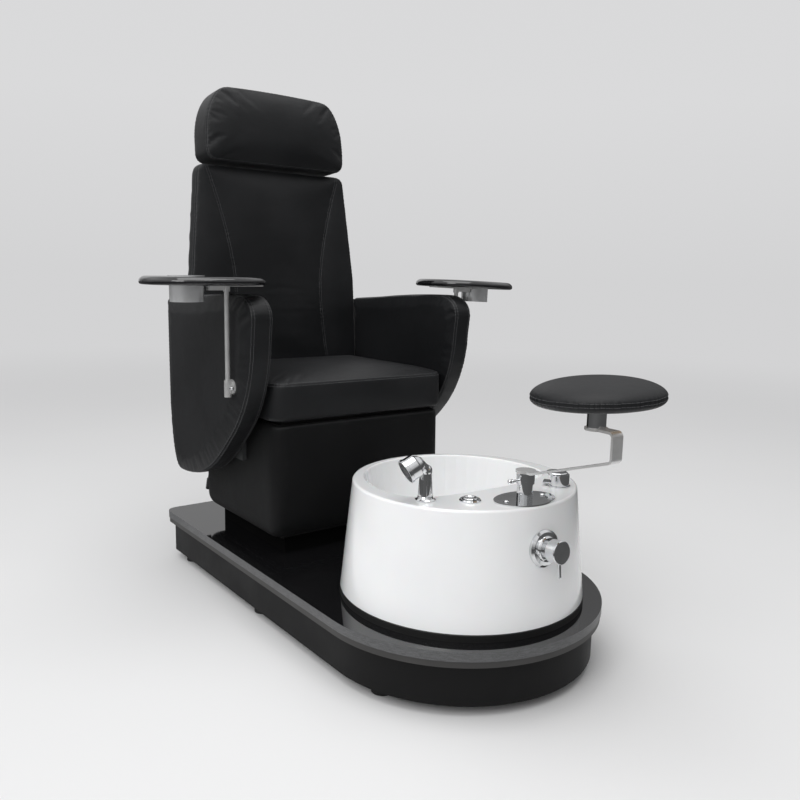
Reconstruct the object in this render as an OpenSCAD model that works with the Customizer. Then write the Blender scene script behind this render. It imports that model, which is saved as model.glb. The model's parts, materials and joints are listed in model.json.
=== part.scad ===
// Pedicure spa chair: an upholstered reclining chair and a round foot basin on one raised platform.
// Millimetres, +Z up. The front, with the basin and the footrest, is towards -Y.
// The origin is on the floor, under the middle of the whole chair. "Left" is -X, "right" is +X.

/* [Platform] */
// Width of the deck, and twice the radius of its round front
platform_w = 680; // [640:5:760]
// Length of the deck from the round front to the straight back
platform_l = 1300; // [1240:10:1400]
// Distance from the origin to the back edge of the deck
platform_back = 720; // [700:5:760]
// Radius of the two back corners of the deck
deck_corner_r = 32; // [22:1:50]
// Thickness of the glossy deck sheet
deck_t = 20; // [12:1:28]
// Thickness of the board under the deck sheet
board_t = 14; // [9:1:20]
// Height of the skirt
skirt_h = 90; // [80:1:120]
// Thickness of the skirt wall
skirt_wall = 15; // [9:1:18]
// How far the skirt stands in from the edge of the deck
skirt_inset = 18; // [8:1:24]
// Height of the levelling feet below the skirt
foot_h = 24; // [18:1:32]
// Diameter of a levelling foot
foot_d = 50; // [30:1:56]
// Thread diameter of a levelling foot
stud_d = 10; // [8:1:12]
// Side of the square frame rails
rail_side = 40; // [30:1:44]

/* [Plumbing] */
// Outside diameter of the waste pipe
waste_d = 40; // [32:1:44]
// Wall of the waste pipe
waste_wall = 3; // [2:0.5:4]
// Outside diameter of a water pipe
pipe_d = 14; // [10:1:16]
// Height of the pipe runs above the floor
pipe_z = 50; // [42:1:52]
// Outside diameter of the threaded water nipples
nipple_d = 20.4; // [18:0.1:26]
// Length of the nipples and of the waste spigot behind the skirt
stub_l = 18; // [12:1:30]
// Distance between the hot and the cold inlet
inlet_pitch = 120; // [90:5:160]

/* [Basin] */
// Distance from the origin to the basin's axis, towards the front
tub_front = 260; // [250:1:275]
// Turn of the basin on the deck, seen from above
tub_turn = -2.5; // [-6:0.5:6]
// Height of the basin above its ring
tub_h = 249; // [230:1:300]
// Height of the black ring under the basin
ring_h = 16; // [10:1:22]
// Radius of the basin at the bottom
tub_bottom_r = 281; // [270:1:290]
// Radius of the basin at the rim
tub_top_r = 256; // [252:1:265]
// Wall thickness of the basin
tub_wall = 6; // [5:0.5:9]
// Radius of the round part of the bowl opening
bowl_r = 214; // [205:1:216]
// How far the bowl opening sits behind the basin's axis
bowl_back = 22; // [16:1:24]
// Distance from the middle of the bowl opening to its flat front side
bowl_flat = 120; // [112:1:124]
// Depth of the bowl
bowl_depth = 200; // [160:1:210]
// Diameter of the drain plug
plug_d = 37; // [30:1:40]

/* [Basin fittings] */
// Diameter of the drain knob's bezel
bezel_d = 46; // [40:1:50]
// Diameter of the drain knob
knob_d = 33; // [26:1:34]
// Diameter of the round spout
spout_d = 44; // [38:1:48]
// Height of the spout above the rim
spout_h = 33; // [28:1:44]
// Height of the mixer axis above the floor
mixer_z = 326; // [300:1:340]
// Diameter of the mixer's cover plate
escutcheon_d = 78; // [70:1:86]
// Diameter of the mixer handle
mixer_d = 48; // [42:1:52]
// Distance from the basin wall to the end of the mixer handle
mixer_reach = 50; // [46:1:70]
// Length of the pin lever below the mixer handle
pin_l = 30; // [20:1:40]
// Diameter of the hand shower's face
shower_d = 53; // [46:1:60]
// Length of the hand shower's head
shower_l = 40; // [34:1:46]
// Height of the hand shower's handle above the rim
shower_grip_h = 62; // [54:1:72]

/* [Footrest] */
// Distance from the basin's axis to the footrest post
post_front = 201; // [197:1:202]
// Length of the post's oval mirror plate, across the basin
flange_l = 148; // [130:1:156]
// Width of the post's oval mirror plate
flange_w = 102; // [92:1:104]
// Outside diameter of the post
post_d = 34; // [30:1:38]
// Height of the post with its collar
post_h = 59; // [50:1:80]
// Diameter of the swivel shaft
shaft_d = 24; // [18:1:26]
// Width of the bent flat bar
bar_w = 28; // [24:1:34]
// Thickness of the bent flat bar
bar_t = 5; // [4:0.5:7]
// Slope of the lower leg of the bar
bar_slope = 18; // [8:0.5:20]
// Distance from the post to the upright leg of the bar
bar_reach = 234; // [214:1:240]
// Height of the upright leg of the bar
bar_rise = 54; // [52:1:90]
// Distance from the upright leg back to the middle of the pad
pad_back = 53; // [40:1:60]
// Diameter of the hub under the pad
hub_d = 36; // [32:1:42]
// Height of the hub under the pad
hub_h = 38; // [24:1:40]
// Diameter of the pad
pad_d = 255; // [230:5:300]
// Height of the pad's crown above its widest line
pad_crown = 36; // [30:1:50]
// Depth of the pad below its widest line
pad_under = 18; // [14:1:30]
// Tip of the pad on its stem
pad_tip = 3.2; // [0:0.2:5]

/* [Seat and base] */
// Distance from the origin to the front of the upholstered base
base_front = 137; // [125:1:160]
// How far the back of the base stands ahead of the back of the seat
base_in = 12; // [6:1:28]
// Half width of the upholstered base
base_half_w = 272; // [262:1:276]
// Height of the recessed plinth above the deck
plinth_h = 44; // [20:1:52]
// Height of the top of the base above the floor
base_top = 494; // [480:1:505]
// Thickness of the padding around the base
base_pad = 30; // [26:1:34]
// Thickness of the plywood box inside the base
ply_t = 15; // [12:1:18]
// Gap between the base and the seat
seat_gap = 5; // [4:0.5:10]
// Height of the seat's front up to its seam
seat_h = 100; // [85:1:110]
// Crown of the seat above its seam
seat_crown = 18; // [10:1:26]
// Depth of the seat cushion
seat_depth = 458; // [405:1:480]
// Half width of the seat cushion
seat_half_w = 278; // [266:1:280]

/* [Arms] */
// Distance from the middle to the inner face of an arm
arm_inner = 284; // [284:1:296]
// Thickness of an arm
arm_t = 66; // [50:1:72]
// Height of an arm's top above the floor
arm_top = 819; // [790:1:840]
// Height of an arm's lowest point above the floor
arm_bottom = 302; // [280:1:340]
// Distance from the origin to the front of an arm
arm_front = 118; // [110:1:145]
// How far the back of an arm stands behind the seat
arm_behind = 59; // [22:1:62]
// Slope of an arm's long underside
arm_slope = 42; // [34:1:50]
// Distance from the origin to where that slope would meet the arm's lowest line
arm_under = 411; // [380:1:440]

/* [Backrest] */
// Distance from the back of the seat to the recline pivot
pivot_behind = 54; // [50:1:58]
// Height of the recline pivot above the floor
pivot_z = 530; // [526:1:540]
// Lean of the backrest at rest
lean = 4.4; // [3:0.2:9]
// Diameter of the recline hinge pins
hinge_pin_d = 12; // [8:1:14]
// Length of the backrest above the pivot
back_l = 650; // [600:1:690]
// Half width of the backrest across the arms
back_low_hw = 281; // [270:1:282]
// Half width of the backrest at the top
back_top_hw = 249; // [235:1:260]
// Radius of the backrest's two top corners
back_top_r = 24; // [16:1:27]
// Thickness of the backrest cushion
back_pad_t = 46; // [30:1:48]
// Thickness of the plywood back board
back_board_t = 12; // [9:1:15]
// Thickness of the rear cover
back_cover_t = 55; // [42:1:60]
// Gap between backrest and headrest
head_gap = 3; // [2:1:30]
// Height of the headrest
head_h = 210; // [180:1:240]
// Half width of the headrest
head_half_w = 232; // [220:1:255]
// Thickness of the headrest
head_t = 112; // [76:1:120]
// Diameter of a headrest post
head_post_d = 12; // [10:1:14]
// Distance between the headrest posts
head_post_pitch = 190; // [150:5:240]

/* [Recline lock] */
// Distance from the pivot down to the crank pin
crank_l = 70; // [60:1:74]
// Diameter of the lock rod
lock_rod_d = 14; // [10:1:16]
// Diameter of the lock cylinder
lock_tube_d = 26; // [24:1:28]
// Length of the recline lever below its pivot
lever_l = 82; // [70:1:100]

/* [Trays] */
// Distance from the middle to the centre of a tray
tray_x = 415; // [405:1:430]
// Distance from the origin back to the centre of a tray
tray_y = 227; // [215:1:235]
// Half length of a tray, across the chair
tray_a = 147; // [135:1:165]
// Half width of a tray, along the chair
tray_b = 129; // [115:1:145]
// Thickness of a tray
tray_t = 20; // [14:1:26]
// Height of a tray's underside above the floor
tray_z = 840; // [835:1:880]
// Droop of the left tray towards its outer end
droop_left = 0.5; // [0:0.5:3]
// Droop of the right tray towards its outer end
droop_right = 2; // [0:0.5:4]
// Distance from the origin back to the tray rods
rod_y = 206; // [195:1:215]
// Diameter of a tray rod
rod_d = 12; // [10:1:14]
// Diameter of the socket that holds a tray rod
socket_d = 18; // [17:1:22]
// Height of the bottom of the socket above the floor
socket_z = 567; // [550:1:590]
// Height of the socket
socket_h = 42; // [34:1:60]
// Diameter of a cup
cup_d = 80; // [74:1:88]
// Depth of a cup below the tray
cup_h = 40; // [34:1:60]

/* [Hidden] */
$fn = 96;

// Clearances
run_gap = 0.06;  // shaft in its bore, on the radius
slip_gap = 0.3;  // between neighbours that only lie close
soft_gap = 0.5;  // between a cushion and what carries it

// Platform levels
skirt_z = foot_h;
board_z = skirt_z + skirt_h;
deck_z = board_z + board_t;
floor_z = deck_z + deck_t;
arc_y = platform_back - platform_l + platform_w / 2;
skirt_hw = platform_w / 2 - skirt_inset;
skirt_back = platform_back - skirt_inset;
rail_z = board_z - rail_side;
rail_x = skirt_hw - skirt_wall - rail_side / 2 - 4;
rail_front = arc_y - 40;
rail_back = skirt_back - skirt_wall - 6;
front_rail_y = arc_y - 58 - rail_side / 2;
front_foot_x = rail_x - 20;
foot_rows = [front_rail_y, 183, rail_back - 47];
cross_rows = [front_rail_y, 20, 300, 560];

// Basin levels and places, in the basin's own frame
tub_z = floor_z + ring_h;
rim_z = tub_z + tub_h;
bowl_z = rim_z - bowl_depth;
deck_lip = 8;
rim_r = 6;
waste_r = 20;
knob_at = [-104, -149];
spout_at = [143, -161];
shower_at = [-182, -98];
riser_x = 14;
riser_l = mixer_z - 24;

hose_tail = 110;

// Footrest heights
collar_h = 23;
bar_z = rim_z + post_h + slip_gap;
bar_bend_r = 9;
paddle_r = 21;
flat_l = 28;
leg_dy = bar_reach - flat_l;
leg_end_z = bar_z + leg_dy * tan(bar_slope);
bar_top_z = leg_end_z + bar_rise;
pad_y = -(post_front + bar_reach - pad_back);
plate_lift = 1 + slip_gap;  // keeps the tipped plate off the hub
plate_t = 3;
tip_along = 52.8;  // direction of the line that the pad is tipped about
stem_d = 20;
pad_board_d = 190;
pad_board_t = 8;

// Chair levels
base_z = floor_z + plinth_h;
seat_z = base_top + seat_gap;
seat_front = base_front - 3;
seat_back = seat_front + seat_depth;
base_back = seat_back - base_in;
arm_back = seat_back + arm_behind;
pivot_back = seat_back + pivot_behind;
back_y = [-back_board_t / 2 - back_pad_t, -back_board_t / 2, back_board_t / 2,
    back_board_t / 2 + back_cover_t];
back_foot = 22;
head_ahead = 34;  // the headrest's front stands this far ahead of the backrest's
board_foot = 30;
wide_l = back_l / 2;
head_y = [back_y[0] - head_ahead, back_y[0] - head_ahead + head_t];
head_v = back_l + head_gap;
post_y = back_board_t / 2 + 10;
sleeve_l = 110;
head_grip = 90;
crank_y = pivot_back - crank_l * sin(lean);
crank_z = pivot_z - crank_l * cos(lean);
recline_max = 28;
bracket_x = 226;
bracket_foot = 80;
crank_rise = crank_l * (cos(lean) - cos(lean + recline_max));
lock_z = crank_z + crank_rise / 2;
lever_x = -242;
lever_y = base_back + 13;
lever_z = 300;

// Tray places
arm_crown = 3;  // swell of an arm's outer face
arm_outer = arm_inner + arm_t + arm_crown;
rod_x = arm_outer + 4 + socket_d / 2;
cup_x = 458 - tray_x;
cup_y = -1;

// ---------- Shared shapes ----------

// Centre of a ring of points
function middle(ring) = [for (k = [0:2]) (min([for (p = ring) p[k]]) + max([for (p = ring) p[k]])) / 2];

// Closed skin of triangles over rings of equal length. Each ring runs counter-clockwise seen from
// the last ring's side, and both ends close on a middle point.
module skin(rings) {
    n = len(rings[0]);
    m = len(rings);
    first = n * m;
    polyhedron(
        points = concat([for (r = rings) each r], [middle(rings[0]), middle(rings[m - 1])]),
        faces = concat(
            [for (k = [0:m - 2], i = [0:n - 1]) [k * n + i, (k + 1) * n + i, (k + 1) * n + (i + 1) % n]],
            [for (k = [0:m - 2], i = [0:n - 1]) [k * n + i, (k + 1) * n + (i + 1) % n,
                k * n + (i + 1) % n]],
            [for (i = [0:n - 1]) [first, i, (i + 1) % n]],
            [for (i = [0:n - 1]) [first + 1, (m - 1) * n + (i + 1) % n, (m - 1) * n + i]]),
        convexity = 6);
}

// Moves a closed counter-clockwise outline inwards by d
function inset(line, d) = let (n = len(line)) [for (i = [0:n - 1])
    let (t = line[(i + 1) % n] - line[(i + n - 1) % n]) line[i] + d * [-t[1], t[0]] / norm(t)];

// Point of a rounded corner c = [x, y, radius across, radius along] at angle a
function corner_at(c, a) = [c[0] + c[2] * cos(a), c[1] + c[3] * sin(a)];

// Outline of a rounded rectangle with its own corner radii below and above, and points on its sides.
// Its upper corners are oval, and tall times as high as wide.
function round_rect(hw, y0, y1, r_low, r_high, steps, side, tall = 1) =
    let (r_tall = r_high * tall,
        q = [[hw - r_high, y1 - r_tall, r_high, r_tall], [-hw + r_high, y1 - r_tall, r_high, r_tall],
        [-hw + r_low, y0 + r_low, r_low, r_low], [hw - r_low, y0 + r_low, r_low, r_low]])
    [for (c = [0:3]) each concat(
        [for (i = [0:steps]) corner_at(q[c], 90 * (c + i / steps))],
        [for (i = [1:side]) let (s = i / (side + 1))
            (1 - s) * corner_at(q[c], 90 * (c + 1)) + s * corner_at(q[(c + 1) % 4], 90 * (c + 1))])];

// Quarter of a superellipse about c, from angle a0 to a1
function bow(c, a, b, n, a0, a1, steps) = [for (i = [0:steps])
    let (t = a0 + (a1 - a0) * i / steps)
    c + [a * sign(cos(t)) * pow(abs(cos(t)), 2 / n), b * sign(sin(t)) * pow(abs(sin(t)), 2 / n)]];

// Places an outline at height z
function at_z(line, z) = [for (p = line) [p[0], p[1], z]];

// Straight round bar between two points
module rod(a, b, r) {
    v = b - a;
    translate(a) rotate([0, acos(v[2] / norm(v)), atan2(v[1], v[0])]) cylinder(r = r, h = norm(v));
}

// Pipe along a list of points, with an elbow fitting at each corner
module pipe(points, r, elbow = 1.5) {
    for (i = [0:len(points) - 2]) rod(points[i], points[i + 1], r);
    for (i = [1:1:len(points) - 2]) translate(points[i]) sphere(r = r + elbow);
}

// Bezier curve from a to d, with b and c pulling on it
function curve(a, b, c, d, steps) = [for (i = [0:steps]) let (t = i / steps, u = 1 - t)
    u * u * u * a + 3 * u * u * t * b + 3 * u * t * t * c + t * t * t * d];

// Bendy round cord along a list of points that never runs along Y
module cord(points, r, sides) {
    n = len(points);
    skin([for (i = [0:n - 1])
        let (
            d = points[min(i + 1, n - 1)] - points[max(i - 1, 0)],
            u = cross([0, 1, 0], d) / norm(cross([0, 1, 0], d)),
            v = cross(d, u) / norm(d))
        [for (k = [0:sides - 1]) points[i] + r * (cos(360 * k / sides) * u + sin(360 * k / sides) * v)]]);
}

// Mirrors a child to both sides
module both_sides() {
    children();
    mirror([1, 0, 0]) children();
}

// Screw with a ball head: the shank runs along +Z from the origin
module ball_screw(shank_r, shank_l, ball_r) {
    cylinder(r = shank_r, h = shank_l);
    translate([0, 0, shank_l]) sphere(r = ball_r);
    translate([0, 0, shank_l - ball_r - 3]) cylinder(r = shank_r + 1.5, h = 3);
}

// Frame of the basin: its axis on the deck, turned with it
module on_tub() {
    translate([0, -tub_front, 0]) rotate([0, 0, tub_turn]) children();
}

// Frame of the backrest: Y through its thickness, Z up along it, X along the recline pivot
module on_back() {
    translate([0, pivot_back, pivot_z]) rotate([-lean, 0, 0]) children();
}

// ---------- Platform ----------

module platform_outline(in) {
    hw = platform_w / 2 - in;
    back = platform_back - in;
    r = deck_corner_r - in;
    corner = max(r, 4);
    translate([0, arc_y]) circle(r = hw, $fn = 180);
    translate([-hw, arc_y]) square([2 * hw, back - corner - arc_y]);
    translate([-hw + corner, arc_y]) square([2 * (hw - corner), back - arc_y]);
    for (s = [-1, 1]) translate([s * (hw - corner), back - corner]) circle(r = corner);
}

module at_feet() {
    for (row = [0:2], s = [-1, 1])
        translate([s * (row == 0 ? front_foot_x : rail_x), foot_rows[row], 0]) children();
}

module foot_pads() color("#1b1b1c") at_feet()
    difference() {
        rotate_extrude() polygon([[0, 0], [foot_d / 2, 0], [foot_d / 2, 6], [foot_d / 2 - 4, 11],
            [stud_d / 2 + 6, 14], [0, 14]]);
        translate([0, 0, 6]) cylinder(d = stud_d + 2 * run_gap, h = 20);
    }

module foot_studs() color("silver") at_feet() {
    translate([0, 0, 6]) cylinder(d = stud_d, h = rail_z + 20 - 6);
    translate([0, 0, 14]) cylinder(d = 18, h = 6, $fn = 6);
    translate([0, 0, rail_z - 6]) cylinder(d = 18, h = 6, $fn = 6);
}

module frame_rails() color("#303234") difference() {
    union() {
        for (s = [-1, 1]) translate([s * rail_x - rail_side / 2, rail_front, rail_z])
            cube([rail_side, rail_back - rail_front, rail_side]);
        for (s = [-1, 1]) translate([s * front_foot_x - 18, front_rail_y, rail_z])
            cube([36, rail_front - front_rail_y + 6, rail_side]);
        for (y = cross_rows) translate([-cross_half(y), y - rail_side / 2, rail_z])
            cube([2 * cross_half(y), rail_side, rail_side]);
    }
    at_feet() translate([0, 0, rail_z - 1]) cylinder(d = stud_d + 2 * run_gap, h = 21 + slip_gap);
}

// The front cross rail stands ahead of the long rails on two short pieces, the others run between them
function cross_half(y) = y == front_rail_y ? front_foot_x + 16 : rail_x - rail_side / 2;

module skirt() color("#242526") difference() {
    translate([0, 0, skirt_z]) linear_extrude(skirt_h) difference() {
        platform_outline(skirt_inset);
        platform_outline(skirt_inset + skirt_wall);
    }
    translate([0, skirt_back + 1, pipe_z]) rotate([90, 0, 0]) {
        cylinder(d = waste_d + 2 * slip_gap, h = skirt_wall + 2);
        for (s = [-1, 1]) translate([s * inlet_pitch / 2, 0, 0])
            cylinder(d = pipe_d + 2 * slip_gap, h = skirt_wall + 2);
    }
}

// Openings under the basin for the waste and the two risers
module deck_holes() {
    on_tub() translate([0, bowl_back, board_z - 1]) cylinder(d = waste_d + 8, h = board_t + deck_t + 2);
    on_tub() for (s = [-1, 1]) translate([s * riser_x, valve_y, board_z - 1])
        cylinder(d = pipe_d + 4, h = board_t + deck_t + 2);
}

module deck_board() color("#1d1e20") difference() {
    translate([0, 0, board_z]) linear_extrude(board_t) platform_outline(2);
    deck_holes();
}

module deck_top() color("#08090a") difference() {
    translate([0, 0, deck_z]) linear_extrude(deck_t) platform_outline(0);
    deck_holes();
}

// ---------- Plumbing ----------

waste_foot = floor_z - 8;

module waste_line(r, end) {
    run_y = -tub_front + bowl_back;
    pipe([[0, run_y, waste_foot], [0, run_y, pipe_z], [0, end, pipe_z]], r);
}

module waste_pipe() color("#d8d8d4") difference() {
    union() {
        waste_line(waste_d / 2, skirt_back);
        translate([0, skirt_back, pipe_z]) rotate([-90, 0, 0]) cylinder(d = waste_d - 2, h = stub_l);
    }
    waste_line(waste_d / 2 - waste_wall, skirt_back + stub_l + 1);
    translate([0, -tub_front + bowl_back, waste_foot - 10]) cylinder(r = waste_d / 2 - waste_wall, h = 12);
}

// Turns a point of the basin's frame into the part's frame
function from_tub(p) = [p[0] * cos(tub_turn) - p[1] * sin(tub_turn),
    -tub_front + p[0] * sin(tub_turn) + p[1] * cos(tub_turn), p[2]];

// Each inlet runs under the deck and rises to the mixer
module water_inlet(s) {
    top = from_tub([s * riser_x, valve_y, riser_l]);
    foot = [top[0], top[1], pipe_z];
    pipe([top, foot, [s * inlet_pitch / 2, foot[1] + 90, pipe_z],
        [s * inlet_pitch / 2, skirt_back, pipe_z]], pipe_d / 2);
    translate([s * inlet_pitch / 2, skirt_back, pipe_z]) rotate([-90, 0, 0]) cylinder(d = nipple_d,
        h = stub_l);
}

module water_pipes() {
    $fn = 48;
    color("#b87348") for (s = [-1, 1]) water_inlet(s);
    color("#b87348") on_tub() {
        over = mixer_z + 24;
        under = rim_z - deck_lip;
        pipe([[8, valve_y, over], [8, valve_y, over + 30], [spout_at[0], spout_at[1], over + 30],
            [spout_at[0], spout_at[1], under]], 6);
        bend_at = [-8, valve_y, over + 16];
        union_at = [shower_at[0] + 40, shower_at[1] - 60, over + 16];
        pipe([[-8, valve_y, over], bend_at, union_at], 6);
        rod(union_at, union_at + 22 * (union_at - bend_at) / norm(union_at - bend_at), 9);
    }
}

// ---------- Basin ----------

module tub_ring() color("#151515") on_tub() translate([0, 0, floor_z])
    rotate_extrude($fn = 180) polygon([[tub_bottom_r - 22, 0], [tub_bottom_r + 1, 0],
        [tub_bottom_r + 1, ring_h - 2], [tub_bottom_r - 1, ring_h], [tub_bottom_r - 22, ring_h]]);

// Outside radius of the basin at height z, and how far its wall leans in
function tub_r(z) = tub_bottom_r + (tub_top_r - tub_bottom_r) * (z - tub_z) / tub_h;
wall_lean = atan2(tub_bottom_r - tub_top_r, tub_h);

// The mixer's valve body and its spindle
valve_y = tub_wall + 26 - tub_r(mixer_z);
spindle_l = mixer_reach - 14;

module at_mixer() translate([0, -tub_r(mixer_z), mixer_z]) rotate([90 - wall_lean, 0, 0]) children();

module tub_body(grow) rotate_extrude($fn = 180) polygon(concat(
    [[0, tub_z - grow], [tub_bottom_r + grow, tub_z - grow]],
    [for (a = [0:15:90]) [tub_top_r - rim_r + (rim_r + grow) * cos(a),
        rim_z - rim_r + (rim_r + grow) * sin(a)]],
    [[0, rim_z + grow]]));

// Outline of the bowl: a circle with a flat front, moved inwards by d
function bowl_line(d) = [for (i = [0:47])
    let (
        a = 7.5 * i,
        c = -sin(a),
        round_in = pow(bowl_r - d, -5),
        flat_in = c > 0 ? pow((bowl_flat - 0.6 * d) / c, -5) : 0,
        r = pow(round_in + flat_in, -0.2))
    [r * cos(a), bowl_back + r * sin(a)]];

// Bowl as rings from the floor up: each row is [inset, height above the bowl's floor]
bowl_rows = [[78, 0], [60, 2.5], [46, 9], [35, 20], [27, 38], [18, 80], [9, 140], [3, bowl_depth - 22],
    [0, bowl_depth - rim_r], [-1, bowl_depth - 2], [-rim_r + 1, bowl_depth]];

module bowl_space(wall, top_rows) {
    rows = [for (k = [0:len(bowl_rows) - 1 - top_rows]) bowl_rows[k]];
    skin(concat([for (q = rows) at_z(bowl_line(q[0] - wall), bowl_z - wall + q[1])],
        [at_z(bowl_line(rows[len(rows) - 1][0] - wall), rim_z + (top_rows > 0 ? -1 : 2))]));
}

module tub_shell() color("#f4f5f6") on_tub() difference() {
    union() {
        difference() {
            tub_body(0);
            translate([0, 0, tub_z - 1]) cylinder(r1 = tub_bottom_r - tub_wall, r2 = tub_top_r - tub_wall,
                h = tub_h - deck_lip + 1, $fn = 180);
        }
        bowl_space(tub_wall, 3);
    }
    bowl_space(0, 0);
    translate([0, bowl_back, bowl_z - 20]) cylinder(r = waste_r, h = 30);
    at_mixer() translate([0, 0, -20]) cylinder(r = 18 + slip_gap, h = 30);
    for (p = [knob_at, spout_at]) translate([p[0], p[1], rim_z - 20]) cylinder(r = 10 + slip_gap, h = 30);
    translate([shower_at[0], shower_at[1], rim_z - 20]) cylinder(r = 15 + slip_gap, h = 30);
    at_flange_screws() translate([0, 0, -20]) cylinder(r = 3 + run_gap, h = 30);
}

module waste_fitting() color("#d5d7da") on_tub() translate([0, bowl_back, 0]) difference() {
    union() {
        translate([0, 0, bowl_z]) cylinder(r = waste_r + 14, h = 2.5);
        translate([0, 0, waste_foot]) cylinder(r = waste_r - slip_gap, h = bowl_z - waste_foot + 1);
        translate([0, 0, bowl_z - tub_wall - 9]) cylinder(r = waste_r + 10, h = 9, $fn = 8);
        translate([-waste_r - 12, 0, bowl_z - 36]) rotate([0, 90, 0]) cylinder(r = 5, h = 14);
    }
    translate([0, 0, waste_foot - 1]) cylinder(r = waste_r - 3, h = bowl_z - 12 - waste_foot + 1);
    translate([0, 0, bowl_z]) cylinder(d = plug_d + 2, h = 10);
    for (a = [0:90:270]) rotate([0, 0, a]) translate([10.5, 0, bowl_z - 20]) cylinder(r = 4.2, h = 30);
    translate([0, 0, bowl_z - 20]) cylinder(r = 4 + run_gap, h = 30);
}

module drain_plug() color("#e2e4e6") on_tub() translate([0, bowl_back, bowl_z]) {
    rotate_extrude() polygon([[0, slip_gap], [plug_d / 2, slip_gap], [plug_d / 2, 3], [plug_d / 2 - 6, 5.5],
        [0, 6.5]]);
    translate([0, 0, -34]) cylinder(r = 4, h = 35);
}

module drain_bezel() color("#dfe1e4") on_tub() translate([knob_at[0], knob_at[1], rim_z])
    difference() {
        union() {
            rotate_extrude() polygon([[0, 0], [bezel_d / 2, 0], [bezel_d / 2, 2], [bezel_d / 2 - 2, 4.5],
                [knob_d / 2 + 1, 4.5], [knob_d / 2 + 1, 1], [0, 1]]);
            translate([0, 0, -20]) cylinder(r = 10, h = 21);
            translate([0, 0, -deck_lip - 6]) cylinder(r = 15, h = 6, $fn = 6);
        }
        translate([0, 0, -30]) cylinder(r = 5 + run_gap, h = 40);
    }

module drain_knob() color("#e6e8ea") on_tub() translate([knob_at[0], knob_at[1], rim_z]) difference() {
    union() {
        rotate_extrude() polygon([[0, 1.3], [knob_d / 2, 1.3], [knob_d / 2, 6], [knob_d / 2 - 1.5, 7.5],
            [knob_d / 2 - 4.5, 7.5], [knob_d / 2 - 8, 5.5], [0, 5]]);
        translate([0, 0, -24]) cylinder(r = 5, h = 28);
    }
    translate([0, knob_d / 2 - 3, 4]) cylinder(r = 1.2, h = 5);
}

module drain_cable() color("#2b2b2b") on_tub() {
    top = [knob_at[0], knob_at[1], rim_z - 24 - slip_gap];
    end = [-waste_r - 12 - slip_gap, bowl_back, bowl_z - 36];
    elbow = end - [16, 0, 0];
    cord(concat(curve(top, top - [0, 0, 185], elbow - [90, 60, 0], elbow, 16), [end]), 3, 8);
}

// ---------- Mixer, spout and hand shower ----------

// Frame of the mixer: Z points straight out of the basin's sloping front wall
module on_mixer() on_tub() at_mixer() children();

module mixer_valve() color("#caa54d") {
    on_tub() translate([-28, valve_y - 20, mixer_z - 24]) cube([56, 40, 48]);
    on_mixer() translate([0, 0, -tub_wall - 16]) cylinder(r = 18, h = tub_wall + 16 + 22);
    on_mixer() cylinder(r = 8, h = spindle_l);
}

module mixer_escutcheon() color("#dfe1e4") difference() {
    on_mixer() difference() {
        rotate_extrude() polygon([[18 + run_gap, -4], [escutcheon_d / 2, -4], [escutcheon_d / 2, 3],
            [escutcheon_d / 2 - 5, 7], [27, 8.5], [26, 12], [24, 14], [18 + run_gap, 14]]);
        translate([0, 0, -5]) cylinder(r = 18 + run_gap, h = 30);
    }
    on_tub() tub_body(0.05);
}

module mixer_handle() color("#e2e4e6") on_mixer() difference() {
    union() {
        rotate_extrude() polygon([[0, 22 + slip_gap], [mixer_d / 2 - 3, 22 + slip_gap], [mixer_d / 2, 26],
            [mixer_d / 2, mixer_reach - 1.5], [mixer_d / 2 - 1.5, mixer_reach], [0, mixer_reach]]);
        translate([0, 0, mixer_reach - 8]) rotate([90, 0, 0]) rotate_extrude() polygon([[0, 0], [3.4, 0],
            [3.4, mixer_d / 2 + pin_l - 3], [2, mixer_d / 2 + pin_l], [0, mixer_d / 2 + pin_l]]);
    }
    cylinder(r = 8 + run_gap, h = spindle_l + slip_gap);
}

spout_angle = atan2(bowl_back - spout_at[1], -spout_at[0]);

module on_spout() on_tub() translate([spout_at[0], spout_at[1], rim_z]) rotate([0, 0,
    spout_angle]) children();

module spout() color("#dfe1e4") on_spout() difference() {
    union() {
        cylinder(d = spout_d + 6, h = 3);
        cylinder(d = spout_d, h = spout_h - 5);
        translate([8, -13, 7]) cube([27, 26, 3]);
        translate([0, 0, -deck_lip]) cylinder(r = 10, h = deck_lip + 1);
        translate([6, 0, spout_h - 6]) rotate_extrude() polygon([[0, 0], [spout_d / 2 + 1, 0],
            [spout_d / 2 + 2, 1], [spout_d / 2 + 2, 4.5], [spout_d / 2, 6], [0, 6]]);
    }
    translate([5, -11, 10]) cube([40, 22, spout_h - 6 - 10 - 5]);
    translate([0, 0, -deck_lip - 1]) cylinder(r = 5, h = deck_lip + 15);
}

module on_shower() on_tub() translate([shower_at[0], shower_at[1], rim_z]) children();

module shower_holder() color("#dfe1e4") on_shower() difference() {
    union() {
        rotate_extrude() polygon([[0, 0], [21.5, 0], [21.5, 2.5], [18, 5], [16, 10], [0, 10]]);
        translate([0, 0, -deck_lip - 20]) cylinder(r = 15, h = deck_lip + 21);
        translate([0, 0, -deck_lip - 6]) cylinder(r = 22, h = 6, $fn = 6);
    }
    translate([0, 0, -deck_lip - 16]) cylinder(r = 12 + run_gap, h = 60);
    translate([0, 0, -deck_lip - 25]) cylinder(r = 5, h = 60);
}

// The head's axis: where its back stands over the handle, and the way its face looks
head_at = [-13, -1, shower_grip_h + 21];
head_turn = 168;
head_tip = 119;

module on_head() translate(head_at) rotate([0, head_tip, head_turn]) children();

module shower_head_form() on_head() rotate_extrude() polygon([[0, -3], [9, -3], [15, 2], [20, 10],
    [shower_d / 2 - 1.5, 14], [shower_d / 2 - 1.5, shower_l - 7], [shower_d / 2, shower_l - 6],
    [shower_d / 2, shower_l], [0, shower_l]]);

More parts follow.
